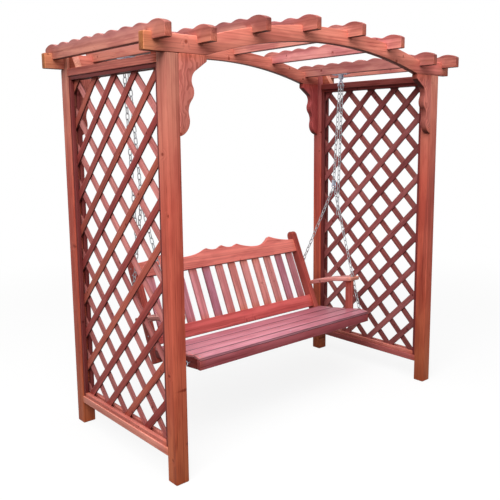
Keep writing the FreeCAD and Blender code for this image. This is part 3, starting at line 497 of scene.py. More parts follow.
# The front arch is painted lighter and the back arch darker, as painted light and shade, and the front arch's right
# tail is painted lighter over the shadow that falls on it.
archSpec = {"thick": 0.038, "depth": 0.078, "rise": 0.113, "halfSpan": 0.780, "overhang": 0.103, "steps": 40,
            "colour": tint(225, 136, 117), "end": tint(182, 108, 76), "shade": {"front": 1.20, "back": 0.90},
            "paintedTailLight": {"front": (1.0, (1.34, 1.20, 1.50)), "back": (1.0, 1.0)}}
# Each corner's bracket is painted lighter or darker, as painted light and shade, and the front right one's scalloped
# edge gets painted shade.
# the scroll: how far out and how far down each point is, and its arc's radius, as shares, and which way the arc turns
bracketSpec = {"drop": 0.352, "thick": 0.038, "nose": 0.028, "colour": tint(220, 130, 116),
               "scroll": ((0.59, 0.20, 0.145, -1), (0.48, 0.385, 0.15, 1), (0.44, 0.555, 0.21, -1),
                          (0.333, 0.755, 0.195, 1)),
               "shade": byCorner(0.94, 1.25, 0.75, (0.67, 0.42, 0.52)), "paintedEdgeShade": byCorner(1.0, 0.48, 1.0, 1.0)}

postOuterX, postOuterY = postSpec["width"] / 2, postSpec["depth"] / 2
postInnerX, postInnerY = postOuterX - postSpec["size"], postOuterY - postSpec["size"]
archInnerY = postOuterY - archSpec["thick"]
seatZ = postSpec["height"]
tailTop = seatZ + archSpec["depth"]


# A post's side view: square below, and half as deep where the arch laps it.
def postBoard(end, side):
    # the extra outline points at each level carry the painted light
    levels = postSpec["levels"]
    outline = ([(postInnerY, 0)] + [(postOuterY, level) for level in levels]
               + [(postOuterY, seatZ), (archInnerY, seatZ), (archInnerY, tailTop), (postInnerY, tailTop)]
               + [(postInnerY, level) for level in levels[:0:-1]])
    board = sideBoard(np.array(outline) * (ends[end], 1), sides[side], postInnerX, postSpec["size"], upZ,
                      np.full(3, postSpec["shade"][end, side]), endColour=postSpec["end"], ease=postSpec["ease"],
                      spread=0, wear=postSpec["wear"], sideShade=postSpec["paintedFaceLight"][end, side])
    return fadeBoard(board, upZ, levels, postSpec["paintedLevelLight"][end, side])


archRadius = (archSpec["halfSpan"] ** 2 + archSpec["rise"] ** 2) / (2 * archSpec["rise"])
archTopRadius = archRadius + archSpec["depth"]
archCentreZ = seatZ + archSpec["rise"] - archRadius
archMeet = math.sqrt(archTopRadius ** 2 - (tailTop - archCentreZ) ** 2)  # where the curved top meets the level tails


# Two arcs about one centre, a depth apart; the upper one runs into level tails.
def archBoard(end):
    half, tail, steps = archSpec["halfSpan"], postOuterX + archSpec["overhang"], archSpec["steps"]
    outline = traceOutline([(-tail, seatZ), (-half, seatZ, archRadius, -1, steps), (half, seatZ), (tail, seatZ),
                            (tail, tailTop), (archMeet, tailTop, archTopRadius, 1, steps), (-archMeet, tailTop),
                            (-tail, tailTop)])
    backY = postOuterY if end == "back" else -archInnerY
    board = makeBoard(outline, (0, backY, 0), acrossX, upZ, archSpec["thick"], acrossX,
                      archSpec["colour"] * archSpec["shade"][end], archSpec["end"])
    return fadeBoard(board, acrossX, (half, tail), archSpec["paintedTailLight"][end])


# A scroll of arcs that turn out and in by turns, from the nose under the arch down to the post.
def bracketBoard(end, side):
    half, drop, thick = archSpec["halfSpan"], bracketSpec["drop"], bracketSpec["thick"]
    scroll = [(postInnerX - out * (postInnerX - half), seatZ - down * drop, radius * drop, turn)
              for out, down, radius, turn in bracketSpec["scroll"]]
    outline = traceOutline([(half, seatZ), (half, seatZ - bracketSpec["nose"]), *scroll, (postInnerX, seatZ - drop),
                            (postInnerX, seatZ)])
    backY = postOuterY if end == "back" else thick - postOuterY
    return makeBoard(outline * (sides[side], 1), (0, backY, 0), acrossX, upZ, thick, upZ,
                     bracketSpec["colour"] * bracketSpec["shade"][end, side],
                     sideShade=bracketSpec["paintedEdgeShade"][end, side])


for end in ends:
    for side in sides:
        buildBoard(f"post_{end}_{side}", postBoard(end, side), "arbor", "post_wood")
        buildBoard(f"bracket_{end}_{side}", bracketBoard(end, side), "arbor", "bracket_wood")
    buildBoard(f"arch_{end}", archBoard(end), "arbor", "arch_wood")
print("posts, arches and brackets done")


# Rafters: a notched board, its top edge a row of low humps with hollows between

rafterSpec = {"thick": 0.035, "length": 1.121, "forward": 0.030, "notch": 0.033, "edge": 0.070, "hump": 0.0065,
              "count": 7, "gap": 0.046, "dip": 0.0045, "noseRun": 0.113, "noseDrop": 0.012, "noseCrown": 0.013,
              "play": 0.0005, "crownLine": 0.050, "roofBand": 0.0035, "hollowSteps": 6, "humpSteps": 8, "noseSteps": 10,
              "colour": tint(212, 140, 122),
              "end": tint(236, 146, 124), "crown": tint(176, 112, 106), "rose": tint(228, 156, 152),
              "roseShare": (0, 0, 0.1, 0.2, 0.3, 0.9, 0.4, 0.2),
              "shade": (0.96, 1.0, 0.82, 1.18, 1.12, 1.35, 0.95, 0.95)}
archMiddleY = (postOuterY + archInnerY) / 2
rafterCount = len(rafterSpec["shade"])


# Radius of an arc that stands sag high over a chord of twice half.
def sagRadius(half, sag):
    return (half ** 2 + sag ** 2) / (2 * sag)


# The top edge runs from the back: a falling nose, then hollows and humps in turn, then the front nose.
def rafterOutline():
    spec = rafterSpec
    back, front = spec["length"] / 2 - spec["forward"], -spec["length"] / 2 - spec["forward"]
    edge, gap, run, drop = spec["edge"], spec["gap"], spec["noseRun"], spec["noseDrop"]
    pitch = (spec["length"] - 2 * run - gap) / spec["count"]
    hollow = (sagRadius(gap / 2, spec["dip"]), -1, spec["hollowSteps"])
    hump = (sagRadius((pitch - gap) / 2, spec["hump"]), 1, spec["humpSteps"])
    nose = (sagRadius(math.hypot(run, drop) / 2, spec["noseCrown"]), 1, spec["noseSteps"])
    outer, inner = postOuterY + spec["play"], archInnerY - spec["play"]
    corners = [(front, 0), (-outer, 0), (-outer, spec["notch"]), (-inner, spec["notch"]), (-inner, 0),
               (inner, 0), (inner, spec["notch"]), (outer, spec["notch"]), (outer, 0), (back, 0),
               (back, edge - drop, *nose)]
    for index in range(spec["count"]):
        start = back - run - index * pitch
        corners += [(start, edge, *hollow), (start - gap, edge, *hump)]
    corners += [(front + run + gap, edge, *hollow), (front + run, edge, *nose), (front, edge - drop)]
    return traceOutline(corners)


# The arch falls away under a rafter, so the top of each notch is sloped to stay on it.
def rafterBoard(index):
    spec = rafterSpec
    low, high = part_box(f"rafter_{index + 1}")
    share = spec["roseShare"][index]
    colour = (spec["colour"] * (1 - share) + spec["rose"] * share) * spec["shade"][index]
    board = makeBoard(rafterOutline(), (low[0], 0, low[2]), alongY, upZ, spec["thick"], alongY, colour, spec["end"],
                      crown=(spec["crownLine"], spec["crown"] * spec["shade"][index]))
    points = board["points"]
    offset = np.abs(points[:, 0]) - min(abs(low[0]), abs(high[0]))
    middle = abs(low[0] + high[0]) / 2
    slope = middle / math.sqrt(archTopRadius ** 2 - middle ** 2) if middle < archMeet else 0
    overArch = np.abs(np.abs(points[:, 1]) - archMiddleY) < archSpec["thick"] / 2 + spec["roofBand"]
    roof = overArch & (np.abs(points[:, 2] - low[2] - spec["notch"]) < spec["roofBand"])
    points[roof, 2] -= slope * offset[roof]
    return board


for index in range(rafterCount):
    buildBoard(f"rafter_{index + 1}", rafterBoard(index), "arbor", "rafter_wood")
print("rafters done")


# Side walls: rails, crossed slats, stops and gussets

# The right wall's rails and slats are painted darker than the left wall's: painted shade, where the right wall's inside
# stands in shade.
wallSpec = {"railHeight": 0.038, "bottomZ": 0.124, "stop": 0.020, "slatThick": 0.008, "slatWidth": 0.038,
            "pitch": 0.190, "offset": 0.008, "overrun": 3.0, "slatEase": 0.0012, "stopEase": 0.002,
            "rail": {("top", "left"): tint(212, 126, 112), ("bottom", "left"): tint(238, 156, 138),
                     ("top", "right"): tint(178, 98, 92), ("bottom", "right"): tint(172, 92, 88)},
            "stopLow": tint(206, 122, 108), "stopPaintedShade": tint(122, 56, 54), "paintedSlatSideShade": 0.5,
            "paintedSlatShade": {"left": (1.0, 1.0), "right": (0.72, 1.26)},
            "slat": {("left", "outer"): (tint(184, 98, 80), tint(160, 74, 70)),
                     ("left", "inner"): (tint(220, 144, 138), tint(200, 120, 116)),
                     ("right", "outer"): (tint(172, 102, 96), tint(150, 82, 80)),
                     ("right", "inner"): (tint(182, 108, 106), tint(144, 78, 77))}}
blockSpec = {"thick": 0.040, "base": 0.072, "crown": 0.028, "height": 0.068,
             "colour": tint(200, 116, 96), "end": tint(244, 196, 182)}

wallX = (postSpec["width"] - postSpec["size"]) / 2
wallLow = wallSpec["bottomZ"] + wallSpec["railHeight"]
wallHigh = seatZ - wallSpec["railHeight"]


# Slats are bands at 45 degrees, cut to the opening; lean 1 rises to the back.
def latticeBoards(lowX, lean, colours, fade):
    pitch, offset = wallSpec["pitch"], wallSpec["offset"]
    first = math.ceil((-postInnerY - offset) / pitch)
    last = math.floor((wallHigh - wallLow + postInnerY - offset) / pitch)
    run = unit([1, lean])
    side = np.array([-run[1], run[0]]) * wallSpec["slatWidth"] / 2
    over = wallSpec["overrun"] * run
    boards = []
    for step in range(first, last + 1):
        centre = np.array([0, wallLow + offset + step * pitch])
        band = np.array([centre - over - side, centre + over - side, centre + over + side, centre - over + side])
        for normal, limit in (((1, 0), postInnerY), ((-1, 0), postInnerY), ((0, 1), wallHigh), ((0, -1), -wallLow)):
            band = clipOutline(band, normal, limit)
        share = dice.uniform()
        colour = colours[0] * share + colours[1] * (1 - share)
        # the slats' sides get painted shade, the dark edges along each slat
        board = sideBoard(band, 1, lowX, wallSpec["slatThick"], (0, *run), colour, ease=wallSpec["slatEase"],
                          sideShade=wallSpec["paintedSlatSideShade"])
        # painted shade across the wall: on the right it deepens towards the front post
        boards.append(fadeBoard(board, alongY, (-postInnerY, postInnerY), fade))
    return boards


# Four square strips round each face of the lattice.
def stopSticks(across):
    stop, middle = wallSpec["stop"], across * wallX
    sticks = []
    # the side and top strips are painted dark, as shade; the bottom ones are paler
    for lowX in (middle - wallSpec["slatThick"] - stop, middle + wallSpec["slatThick"]):
        for y in (-postInnerY, postInnerY - stop):
            sticks.append(((lowX, y, wallLow), (lowX + stop, y + stop, wallHigh), "stopPaintedShade"))
        for z, colour in ((wallLow, "stopLow"), (wallHigh - stop, "stopPaintedShade")):
            sticks.append(((lowX, stop - postInnerY, z), (lowX + stop, postInnerY - stop, z + stop), colour))
    return [makeStick(low, high, wallSpec[colour], ease=wallSpec["stopEase"]) for low, high, colour in sticks]


# A block with one sloped face, upright against the post.
def gussetBoard(along, across):
    outline = [(postInnerY, seatZ), (postInnerY, seatZ + blockSpec["height"]),
               (postInnerY - blockSpec["crown"], seatZ + blockSpec["height"]), (postInnerY - blockSpec["base"], seatZ)]
    return sideBoard(np.array(outline) * (along, 1), across, wallX - blockSpec["thick"] / 2, blockSpec["thick"], alongY,
                     blockSpec["colour"], endColour=blockSpec["end"])


for side, across in sides.items():
    for rail in ("top", "bottom"):
        node = f"{rail}_rail_{side}"
        buildBoard(node, nodeStick(node, wallSpec["rail"][rail, side]), "arbor", "rail_wood")
    for layer, lean in (("outer", across), ("inner", -across)):
        node = f"lattice_{side}_{layer}"
        slats = latticeBoards(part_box(node)[0][0], lean, wallSpec["slat"][side, layer], wallSpec["paintedSlatShade"][side])
        slot = "lattice_rising_wood" if lean > 0 else "lattice_falling_wood"
        buildPiece(f"{node}_slats", slats, "arbor", node, slot)
buildPiece("lattice_stop_strips", stopSticks(-1) + stopSticks(1), "arbor", "lattice_stops", "rail_wood")
buildPiece("corner_gussets", [gussetBoard(along, across) for along in (-1, 1) for across in (-1, 1)], "arbor",
           "corner_blocks", "rail_wood")
print("side walls done")


# Bench: a narrow front board falls forward, three boards fall to the back ever less, and the back leans

benchSpec = {"front": -0.247, "height": 0.472, "width": 1.344, "frontBoard": 0.057, "frontPitch": 7.0, "board": 0.121,
             "pitch": 9.6, "flatten": 1.7, "gap": 0.003, "thick": 0.016, "ease": 0.0045, "apronThick": 0.028,
             "apronFoot": 0.065, "apronInset": 0.002, "sideThick": 0.038, "sideSlope": math.radians(5),
             "braceThick": 0.038, "braceRaise": 0.014, "braceBack": 0.395,
             # the seat's pink is partly the stain and partly a painted sheen, the sky's reflection on the boards' tops
             "seat": tint(221, 145, 161), "lifts": (0.88, 1, 1, 1), "seatGapShade": 0.28,
             "paintedSeatShade": (1.12, (0.74, 0.65, 0.68)), "apron": tint(180, 97, 104),
             "paintedApronShade": (1.03, (0.76, 0.62, 0.64)), "under": tint(132, 60, 58)}
backSpec = {"lean": math.radians(24.2), "gap": 0.010, "drop": 0.127, "stileThick": 0.038, "stileDepth": 0.062,
            "stileLength": 0.642, "stileSteps": 8, "inset": 0.008, "rail": 0.038, "lowerUp": 0.098,
            "lowerHeight": 0.081, "crestUp": 0.496, "crestEnd": 0.088, "peak": 0.121, "notch": 0.099,
            "shoulder": 0.116, "dip": 0.081, "outer": 0.132, "shoulderX": 0.125, "dipX": 0.290, "outerX": 0.416,
            "slatWidth": 0.053,
            "slatEnd": 0.041, "slatThick": 0.019, "slatSet": 0.012, "stile": tint(188, 90, 80),
            "crest": tint(230, 133, 121), "crestEase": 0.004, "lower": tint(212, 102, 99),
            "salmon": tint(234, 156, 145), "rose": tint(204, 138, 158),
            "roseShare": (0.7, 0.6, 0.8, 0.5, 0.98, 0.35, 0.1, 0.2, 0.15, 0.25, 0.85, 0.6),
            "slatShade": (1.0, 1.0, 0.95, 1.0, 0.95, 0.92, 1.0, 0.92, 0.88, 0.78, 0.75, 0.74)}

seatHalf, lean = benchSpec["width"] / 2, backSpec["lean"]
backBehind = np.array([0, math.cos(lean), -math.sin(lean)])
backUp = np.array([0, math.sin(lean), math.cos(lean)])
# each seat board: its fall to the back, its width, and its directions back and up
rearFalls = benchSpec["pitch"] - np.arange(3) * benchSpec["flatten"]
falls = np.radians([-benchSpec["frontPitch"], *rearFalls])
widths = np.array([benchSpec["frontBoard"]] + [benchSpec["board"]] * 3)
seatBacks = np.stack([0 * falls, np.cos(falls), -np.sin(falls)], 1)
seatUps = np.stack([0 * falls, np.sin(falls), np.cos(falls)], 1)
seatStarts = np.cumsum((widths + benchSpec["gap"])[:, None] * seatBacks, 0)
seatStarts = np.concatenate([[[0, 0, 0]], seatStarts[:-1]]) + (0, benchSpec["front"], benchSpec["height"])
seatRear = seatStarts[3] + seatBacks[3] * widths[3] - seatUps[3] * benchSpec["thick"]
footZ = benchSpec["height"] - backSpec["drop"]
footY = seatRear[1] + backSpec["gap"] - (seatRear[2] - footZ) * math.tan(lean)
backFoot = np.array([0, footY, footZ])
apronFront = benchSpec["front"] + benchSpec["apronInset"]
apronRear = apronFront + benchSpec["apronThick"]
apronLow = benchSpec["height"] - benchSpec["apronFoot"]


# Where the undersides of a seat board and the one before it meet.
def underBend(index):
    middle, half = (falls[index] + falls[index - 1]) / 2, (falls[index] - falls[index - 1]) / 2
    drop = benchSpec["thick"] / math.cos(half)
    return seatStarts[index, 1] - drop * math.sin(middle), seatStarts[index, 2] - drop * math.cos(middle)


# Height of a seat board's underside at y.
def underBoard(index, y):
    start, fall = seatStarts[index], falls[index]
    return start[2] - (y - start[1]) * math.tan(fall) - benchSpec["thick"] / math.cos(fall)


# Height of a seat side's lower edge at y.
def sideLow(y):
    return apronLow - (y - apronRear) * math.tan(benchSpec["sideSlope"])


# Where a line that falls to the back, and has that height at y = 0, meets the front of the stiles.
def atStile(height, fall):
    y = (footY + (height - footZ) * math.tan(lean)) / (1 + math.tan(fall) * math.tan(lean))
    return y, height - y * math.tan(fall)


def seatBoards():
    thick = benchSpec["thick"]
    # each board's eased long corners are painted dark, as shade in the gaps between the boards
    boards = [makeBoard(rectangle(width, thick, 0, -thick), start - acrossX * seatHalf, back, up, benchSpec["width"],
                        acrossX, benchSpec["seat"] * lift, ease=benchSpec["ease"], paintedCornerShade=benchSpec["seatGapShade"])
              for width, start, back, up, lift in zip(widths, seatStarts, seatBacks, seatUps, benchSpec["lifts"])]
    # painted shade along the seat: light at the left end, darker towards the right
    return [fadeBoard(board, acrossX, (-seatHalf, seatHalf), benchSpec["paintedSeatShade"]) for board in boards]


def apronBoard():
    outline = [(apronFront, apronLow), (apronRear, apronLow), (apronRear, underBoard(0, apronRear)),
               (apronFront, underBoard(0, apronFront))]
    board = sideBoard(outline, 1, -seatHalf, benchSpec["width"], acrossX, benchSpec["apron"])
    # painted shade along the apron: darker and redder towards the right
    return fadeBoard(board, acrossX, (-seatHalf, seatHalf), benchSpec["paintedApronShade"])


underSeat = [underBend(3), underBend(2), underBend(1), (apronRear, underBoard(0, apronRear))]


def seatSideBoard(across):
    outline = [(apronRear, apronLow), atStile(sideLow(0), benchSpec["sideSlope"]), atStile(underBoard(3, 0), falls[3])]
    thick = benchSpec["sideThick"]
    return sideBoard(outline + underSeat, across, seatHalf - thick, thick, alongY, benchSpec["under"])


def braceBoard():
    rear, lift, thick = benchSpec["front"] + benchSpec["braceBack"], benchSpec["braceRaise"], benchSpec["braceThick"]
    outline = [(apronRear, apronLow + lift), (rear, sideLow(rear) + lift), (rear, underBoard(3, rear))]
    return sideBoard(outline + underSeat, 1, -thick / 2, thick, alongY, benchSpec["under"])


# A leaning bar with a half-round top.
def stileBoard(across):
    depth, length = backSpec["stileDepth"], backSpec["stileLength"]
    half = depth / 2
    bend = (half, 1, backSpec["stileSteps"])
    outline = traceOutline([(0, 0), (depth, 0), (depth, length - half, *bend), (half, length, *bend),
                            (0, length - half)])
    startX = seatHalf - backSpec["stileThick"] if across > 0 else -seatHalf
    return makeBoard(outline, (startX, footY, footZ), backBehind, backUp, backSpec["stileThick"], backUp,
                     backSpec["stile"])


# Radius of an arc that starts level and climbs by rise over run.
def scoop(run, rise):
    return (run ** 2 + rise ** 2) / (2 * rise)


# The top edge is scooped from point to point, the same on both sides of the middle peak.
def crestBoard():
    spec = backSpec
    half = seatHalf - spec["stileThick"]
    endScoop = scoop(half - spec["outerX"], spec["outer"] - spec["crestEnd"])
    outerScoop = scoop(spec["outerX"] - spec["dipX"], spec["outer"] - spec["dip"])
    innerScoop = scoop(spec["dipX"] - spec["shoulderX"], spec["shoulder"] - spec["dip"])
    smallScoop = scoop(spec["shoulderX"] / 2, spec["shoulder"] - spec["notch"])
    outline = traceOutline([
        (-half, 0), (half, 0), (half, spec["crestEnd"], endScoop, -1), (spec["outerX"], spec["outer"], outerScoop, -1),
        (spec["dipX"], spec["dip"], innerScoop, -1), (spec["shoulderX"], spec["shoulder"], smallScoop, -1),
        (0, spec["peak"], smallScoop, -1), (-spec["shoulderX"], spec["shoulder"], innerScoop, -1),
        (-spec["dipX"], spec["dip"], outerScoop, -1), (-spec["outerX"], spec["outer"], endScoop, -1),
        (-half, spec["crestEnd"])])
    origin = backFoot + backUp * spec["crestUp"] + backBehind * (spec["inset"] + spec["rail"])
    return makeBoard(outline, origin, acrossX, backUp, spec["rail"], acrossX, spec["crest"], ease=spec["crestEase"])


def lowerRailBoard():
    half = seatHalf - backSpec["stileThick"]
    origin = backFoot + backUp * backSpec["lowerUp"] + backBehind * (backSpec["inset"] + backSpec["rail"])
    return makeBoard(rectangle(2 * half, backSpec["lowerHeight"], -half), origin, acrossX, backUp, backSpec["rail"],
                     acrossX, backSpec["lower"])


def backSlatBoards():
    spec = backSpec
    low = spec["lowerUp"] + spec["lowerHeight"]
    last = len(spec["roseShare"]) - 1
    pitch = (benchSpec["width"] - 2 * (spec["stileThick"] + spec["slatEnd"]) - spec["slatWidth"]) / last
    origin = backFoot + backBehind * (spec["inset"] + spec["slatSet"] + spec["slatThick"])
    boards = []
    for index, (share, shade) in enumerate(zip(spec["roseShare"], spec["slatShade"])):
        left = (index - last / 2) * pitch - spec["slatWidth"] / 2
        colour = (spec["salmon"] * (1 - share) + spec["rose"] * share) * shade
        boards.append(makeBoard(rectangle(spec["slatWidth"], spec["crestUp"] - low, left, low), origin, acrossX,
                                backUp, spec["slatThick"], backUp, colour))
    return boards


# Where the swing hangs, and where its chains take hold of the bench
hangSpec = {"y": 0.135, "hookBar": (0.815, 1.919), "hookBarHalf": 0.0057, "strand": 0.013, "swing": (0.754, 1.262),
            "shackleBar": 0.026, "shackleBarHalf": 0.004, "tailGap": 0.038, "tailLength": 0.865, "ringDrop": 0.0092,
            "ringRadius": 0.017, "ringWire": 0.007, "eyeRadius": 0.012, "eyeWire": 0.006, "frontEyeOut": 0.028,
            "backEyeOut": 0.018, "frontEyeBack": 0.091, "frontEyeDrop": 0.040, "rearEyeUp": 0.427}
armSpec = {"thick": 0.024, "width": 0.090, "outset": 0.073, "tipBack": 0.142, "tipRise": 0.199, "midBack": 0.285,
           "midRise": 0.179, "rearRise": 0.121, "crown": 0.004, "ease": 0.005, "holeRadius": 0.020, "holeSides": 32,
           "postBack": 0.143, "postDepth": 0.056, "postThick": 0.020, "postFoot": 0.046,
           "grain": (0, 1, -0.15), "paintedHoleShade": 0.6, "colour": tint(220, 158, 149), "post": tint(179, 94, 84)}
armTip = (benchSpec["front"] + armSpec["tipBack"], benchSpec["height"] + armSpec["tipRise"])
armMid = (benchSpec["front"] + armSpec["midBack"], benchSpec["height"] + armSpec["midRise"])
armRearZ = benchSpec["height"] + armSpec["rearRise"]
armRearY = footY + (armRearZ - footZ) * math.tan(lean)


def eyeCentre(across, end):
    x = across * (seatHalf + hangSpec[f"{end}EyeOut"])
    if end == "front":
        y, z = benchSpec["front"] + hangSpec["frontEyeBack"], benchSpec["height"] - hangSpec["frontEyeDrop"]
        return np.array([x, y, z])
    place = backFoot + backUp * hangSpec["rearEyeUp"] + backBehind * backSpec["stileDepth"] / 2
    return np.array([x, place[1], place[2]])


def ringCentre(across):
    return np.array([across * hangSpec["swing"][0], hangSpec["y"], hangSpec["swing"][1] - hangSpec["ringDrop"]])


# An arm's side view: it falls to the back, more so behind its middle, and each half has a crowned top.
def armBoard(across):
    thick = armSpec["thick"]
    frontRun, rearRun = (armMid[0] - armTip[0]) / 2, (armRearY - armMid[0]) / 2
    outline = traceOutline([
        (armTip[0], armTip[1] - thick), (armMid[0], armMid[1] - thick),
        (armRearY - thick * math.tan(lean), armRearZ - thick),
        (armRearY, armRearZ, sagRadius(rearRun, armSpec["crown"]), 1),
        (*armMid, sagRadius(frontRun, armSpec["crown"]), 1), armTip])
    width = armSpec["width"]
    return sideBoard(outline, across, seatHalf + armSpec["outset"] - width, width, armSpec["grain"], armSpec["colour"],
                     ease=armSpec["ease"])


# The front chain runs from ring to eye, so the hole stands where that line passes the height of the arm.
def holeBoard(across):
    ring, eye = ringCentre(across), eyeCentre(across, "front")
    place = ring + (eye - ring) * (ring[2] - armMid[1]) / (ring[2] - eye[2])
    turn = np.linspace(0, 2 * np.pi, armSpec["holeSides"], endpoint=False)
    outline = np.stack([np.cos(turn), np.sin(turn)], 1) * armSpec["holeRadius"]
    origin = (place[0], place[1], armMid[1] - 2 * armSpec["thick"])  # the drill starts below the arm and passes it
    # the drill's colour becomes the hole's walls: painted shade inside the hole
    return makeBoard(outline, origin, acrossX, alongY, 3 * armSpec["thick"], upZ,
                     armSpec["colour"] * armSpec["paintedHoleShade"])


# An upright whose top follows the fall of the arm.
def armPostBoard(across):
    fall = (armTip[1] - armMid[1]) / (armMid[0] - armTip[0])
    front = benchSpec["front"] + armSpec["postBack"]
    places = np.array([front, front + armSpec["postDepth"]])
    low = benchSpec["height"] - armSpec["postFoot"]
    high = armTip[1] - armSpec["thick"] - (places - armTip[0]) * fall
    outline = [(places[0], low), (places[1], low), (places[1], high[1]), (places[0], high[0])]
    return sideBoard(outline, across, seatHalf, armSpec["postThick"], upZ, armSpec["post"])


buildPiece("seat_planks", seatBoards(), "bench", "seat_boards", "seat_wood")
buildBoard("front_rail", apronBoard(), "bench", "apron_wood")
buildBoard("seat_brace", braceBoard(), "bench", "apron_wood")
for side, across in sides.items():
    buildBoard(f"seat_side_{side}", seatSideBoard(across), "bench", "apron_wood")
    buildBoard(f"back_stile_{side}", stileBoard(across), "bench", "stile_wood")
    buildBoard(f"arm_{side}", armBoard(across), "bench", "arm_wood", bore=holeBoard(across))
buildBoard("lower_back_rail", lowerRailBoard(), "bench", "crest_wood")
buildBoard("crest_rail", crestBoard(), "bench", "crest_wood")
buildPiece("back_slat_boards", backSlatBoards(), "bench", "back_slats", "back_slat_wood")
buildPiece("arm_post_boards", [armPostBoard(-1), armPostBoard(1)], "bench", "arm_posts", "stile_wood")
print("bench done")


# Chains: welded links, each a quarter turn from the one before

chainSpec = {"wire": 0.005, "width": 0.022, "pitch": 0.030, "play": 0.0003, "pathSteps": 5, "wireSides": 6}


# A link is a round wire carried round two half circles joined by straight runs; grid of path step by wire side.
def linkGrid(inner):
    wire, bend = chainSpec["wire"] / 2, (chainSpec["width"] - chainSpec["wire"]) / 2
    half = inner / 2 + wire - bend
    turn = np.radians(np.linspace(-90, 90, chainSpec["pathSteps"] + 1))
    turn = np.concatenate([turn, turn + np.pi])
    shift = np.repeat([half, -half], chainSpec["pathSteps"] + 1)
    girth = np.linspace(0, 2 * np.pi, chainSpec["wireSides"], endpoint=False)
    reach = bend + wire * np.cos(girth)[None]
    lift = np.broadcast_to(wire * np.sin(girth), (len(turn), len(girth)))
    return np.stack([shift[:, None] + reach * np.cos(turn)[:, None], reach * np.sin(turn)[:, None], lift], -1)


# The part of an axis that is square to a direction, at unit length.
def squareTo(axis, direction):
    return unit(axis - direction * (axis @ direction))


# Links from a bar at start to a bar at end; the pitch is eased to a whole count, odd or even where it is told.
def strandPoints(start, end, bars, firstAxis, odd=None):
    play = chainSpec["play"]
    length = np.linalg.norm(end - start) + sum(bars) + play
    count = round(length / chainSpec["pitch"])
    if odd is not None and count % 2 != odd:
        count += 1 if length / chainSpec["pitch"] > count else -1
    pitch = length / count
    along = unit(end - start)
    widths = np.stack([squareTo(firstAxis, along), np.cross(along, squareTo(firstAxis, along))])
    index = np.arange(count)
    centres = start + along * ((index + 0.5) * pitch - bars[0] - play / 2)[:, None]
    width = widths[index % 2][:, None, None]
    grid = linkGrid(pitch + play)[None]
    return (centres[:, None, None] + grid[..., :1] * along + grid[..., 1:2] * width
            + grid[..., 2:] * np.cross(along, width))


def buildChain(name, strands, body, node):
    grids = np.concatenate(strands)
    quads = gridQuads(*grids.shape[:3], closed=True)[:, [0, 3, 2, 1]]
    mesh = bpy.data.meshes.new(name)
    mesh.from_pydata((grids.reshape(-1, 3) + standBack).tolist(), [], quads.tolist())
    mesh.shade_smooth()
    linkPiece(name, mesh, body, [node], "chain_steel")


for side, across in sides.items():
    hookX, hookZ = hangSpec["hookBar"]
    swingX, swingZ = hangSpec["swing"]
    hookBar = np.array([across * (hookX - hangSpec["strand"]), hangSpec["y"], hookZ])
    shackleBar = np.array([across * swingX, hangSpec["y"], swingZ + hangSpec["shackleBar"]])
    tailTopBar = np.array([across * (hookX + hangSpec["strand"]), hangSpec["y"], hookZ])
    tailEnd = np.array([across * (swingX + hangSpec["tailGap"]), hangSpec["y"], hookZ - hangSpec["tailLength"]])
    ring = ringCentre(across)
    bars = (hangSpec["hookBarHalf"], hangSpec["shackleBarHalf"])
    buildChain(f"upper_chain_{side}_links", [strandPoints(hookBar, shackleBar, bars, alongY, odd=1)], "upper_chains",
               f"upper_chain_{side}")
    buildChain(f"chain_tail_{side}_links", [strandPoints(tailTopBar, tailEnd, (bars[0], 0), alongY)], "upper_chains",
               f"chain_tail_{side}")
    lower = []
    for end in ends:
        eye = eyeCentre(across, end)
        pull = unit(ring - eye)
        onRing = ring - squareTo(pull, acrossX) * hangSpec["ringRadius"]
        lowerBars = (hangSpec["ringWire"] / 2, hangSpec["eyeWire"] / 2)
        lower.append(strandPoints(onRing, eye + pull * hangSpec["eyeRadius"], lowerBars, acrossX, odd=0))
    buildChain(f"lower_chain_{side}_links", lower, "bench", f"lower_chain_{side}")
print("chains done")


# Screws: a low head with a round socket, turned about the way it faces; heads stand on the wood

screwSpec = {"profile": ((0.0042, -0.0015), (0.0042, 0.0001), (0.0031, 0.0008), (0.0017, 0.0010), (0.0015, -0.0004)),
             "sides": 10, "smoothTo": math.radians(40), "frontShares": (0.5,), "seatShares": (0.30, 0.65),
             "armShares": (0.3, 0.7), "crestUps": (0.024, 0.062), "lowerUps": (0.020, 0.060),
             "postBacks": (0.016, 0.040), "postDrop": 0.032}


# The profile gives radius and rise, ring by ring; every ring is swept round each screw's own axis.
def buildScrews(name, places, outwards, body):
    places, outwards = np.asarray(places, float), unit(outwards)
    radius, rise = np.array(screwSpec["profile"]).T
    turn = np.linspace(0, 2 * np.pi, screwSpec["sides"], endpoint=False)
    helper = np.where(np.abs(outwards[:, :1]) > nearlyAlong, alongY, acrossX)
    first = unit(np.cross(outwards, helper))
    second = np.cross(outwards, first)
    spoke = np.cos(turn)[:, None] * first[:, None] + np.sin(turn)[:, None] * second[:, None]
    points = (places[:, None, None] + radius[:, None, None] * spoke[:, None]
              + rise[:, None, None] * outwards[:, None, None])
    count, rings, steps = points.shape[:3]
    starts = np.arange(count)[:, None] * rings * steps + np.arange(steps)
    caps = starts[:, ::-1].tolist() + (starts + (rings - 1) * steps).tolist()
    mesh = bpy.data.meshes.new(name)
    faces = gridQuads(count, rings, steps).tolist() + caps
    mesh.from_pydata((points.reshape(-1, 3) + standBack).tolist(), [], faces)
    mesh.shade_smooth()
    mesh.set_sharp_from_angle(angle=screwSpec["smoothTo"])
    linkPiece(name, mesh, body, [], "fitting_steel")


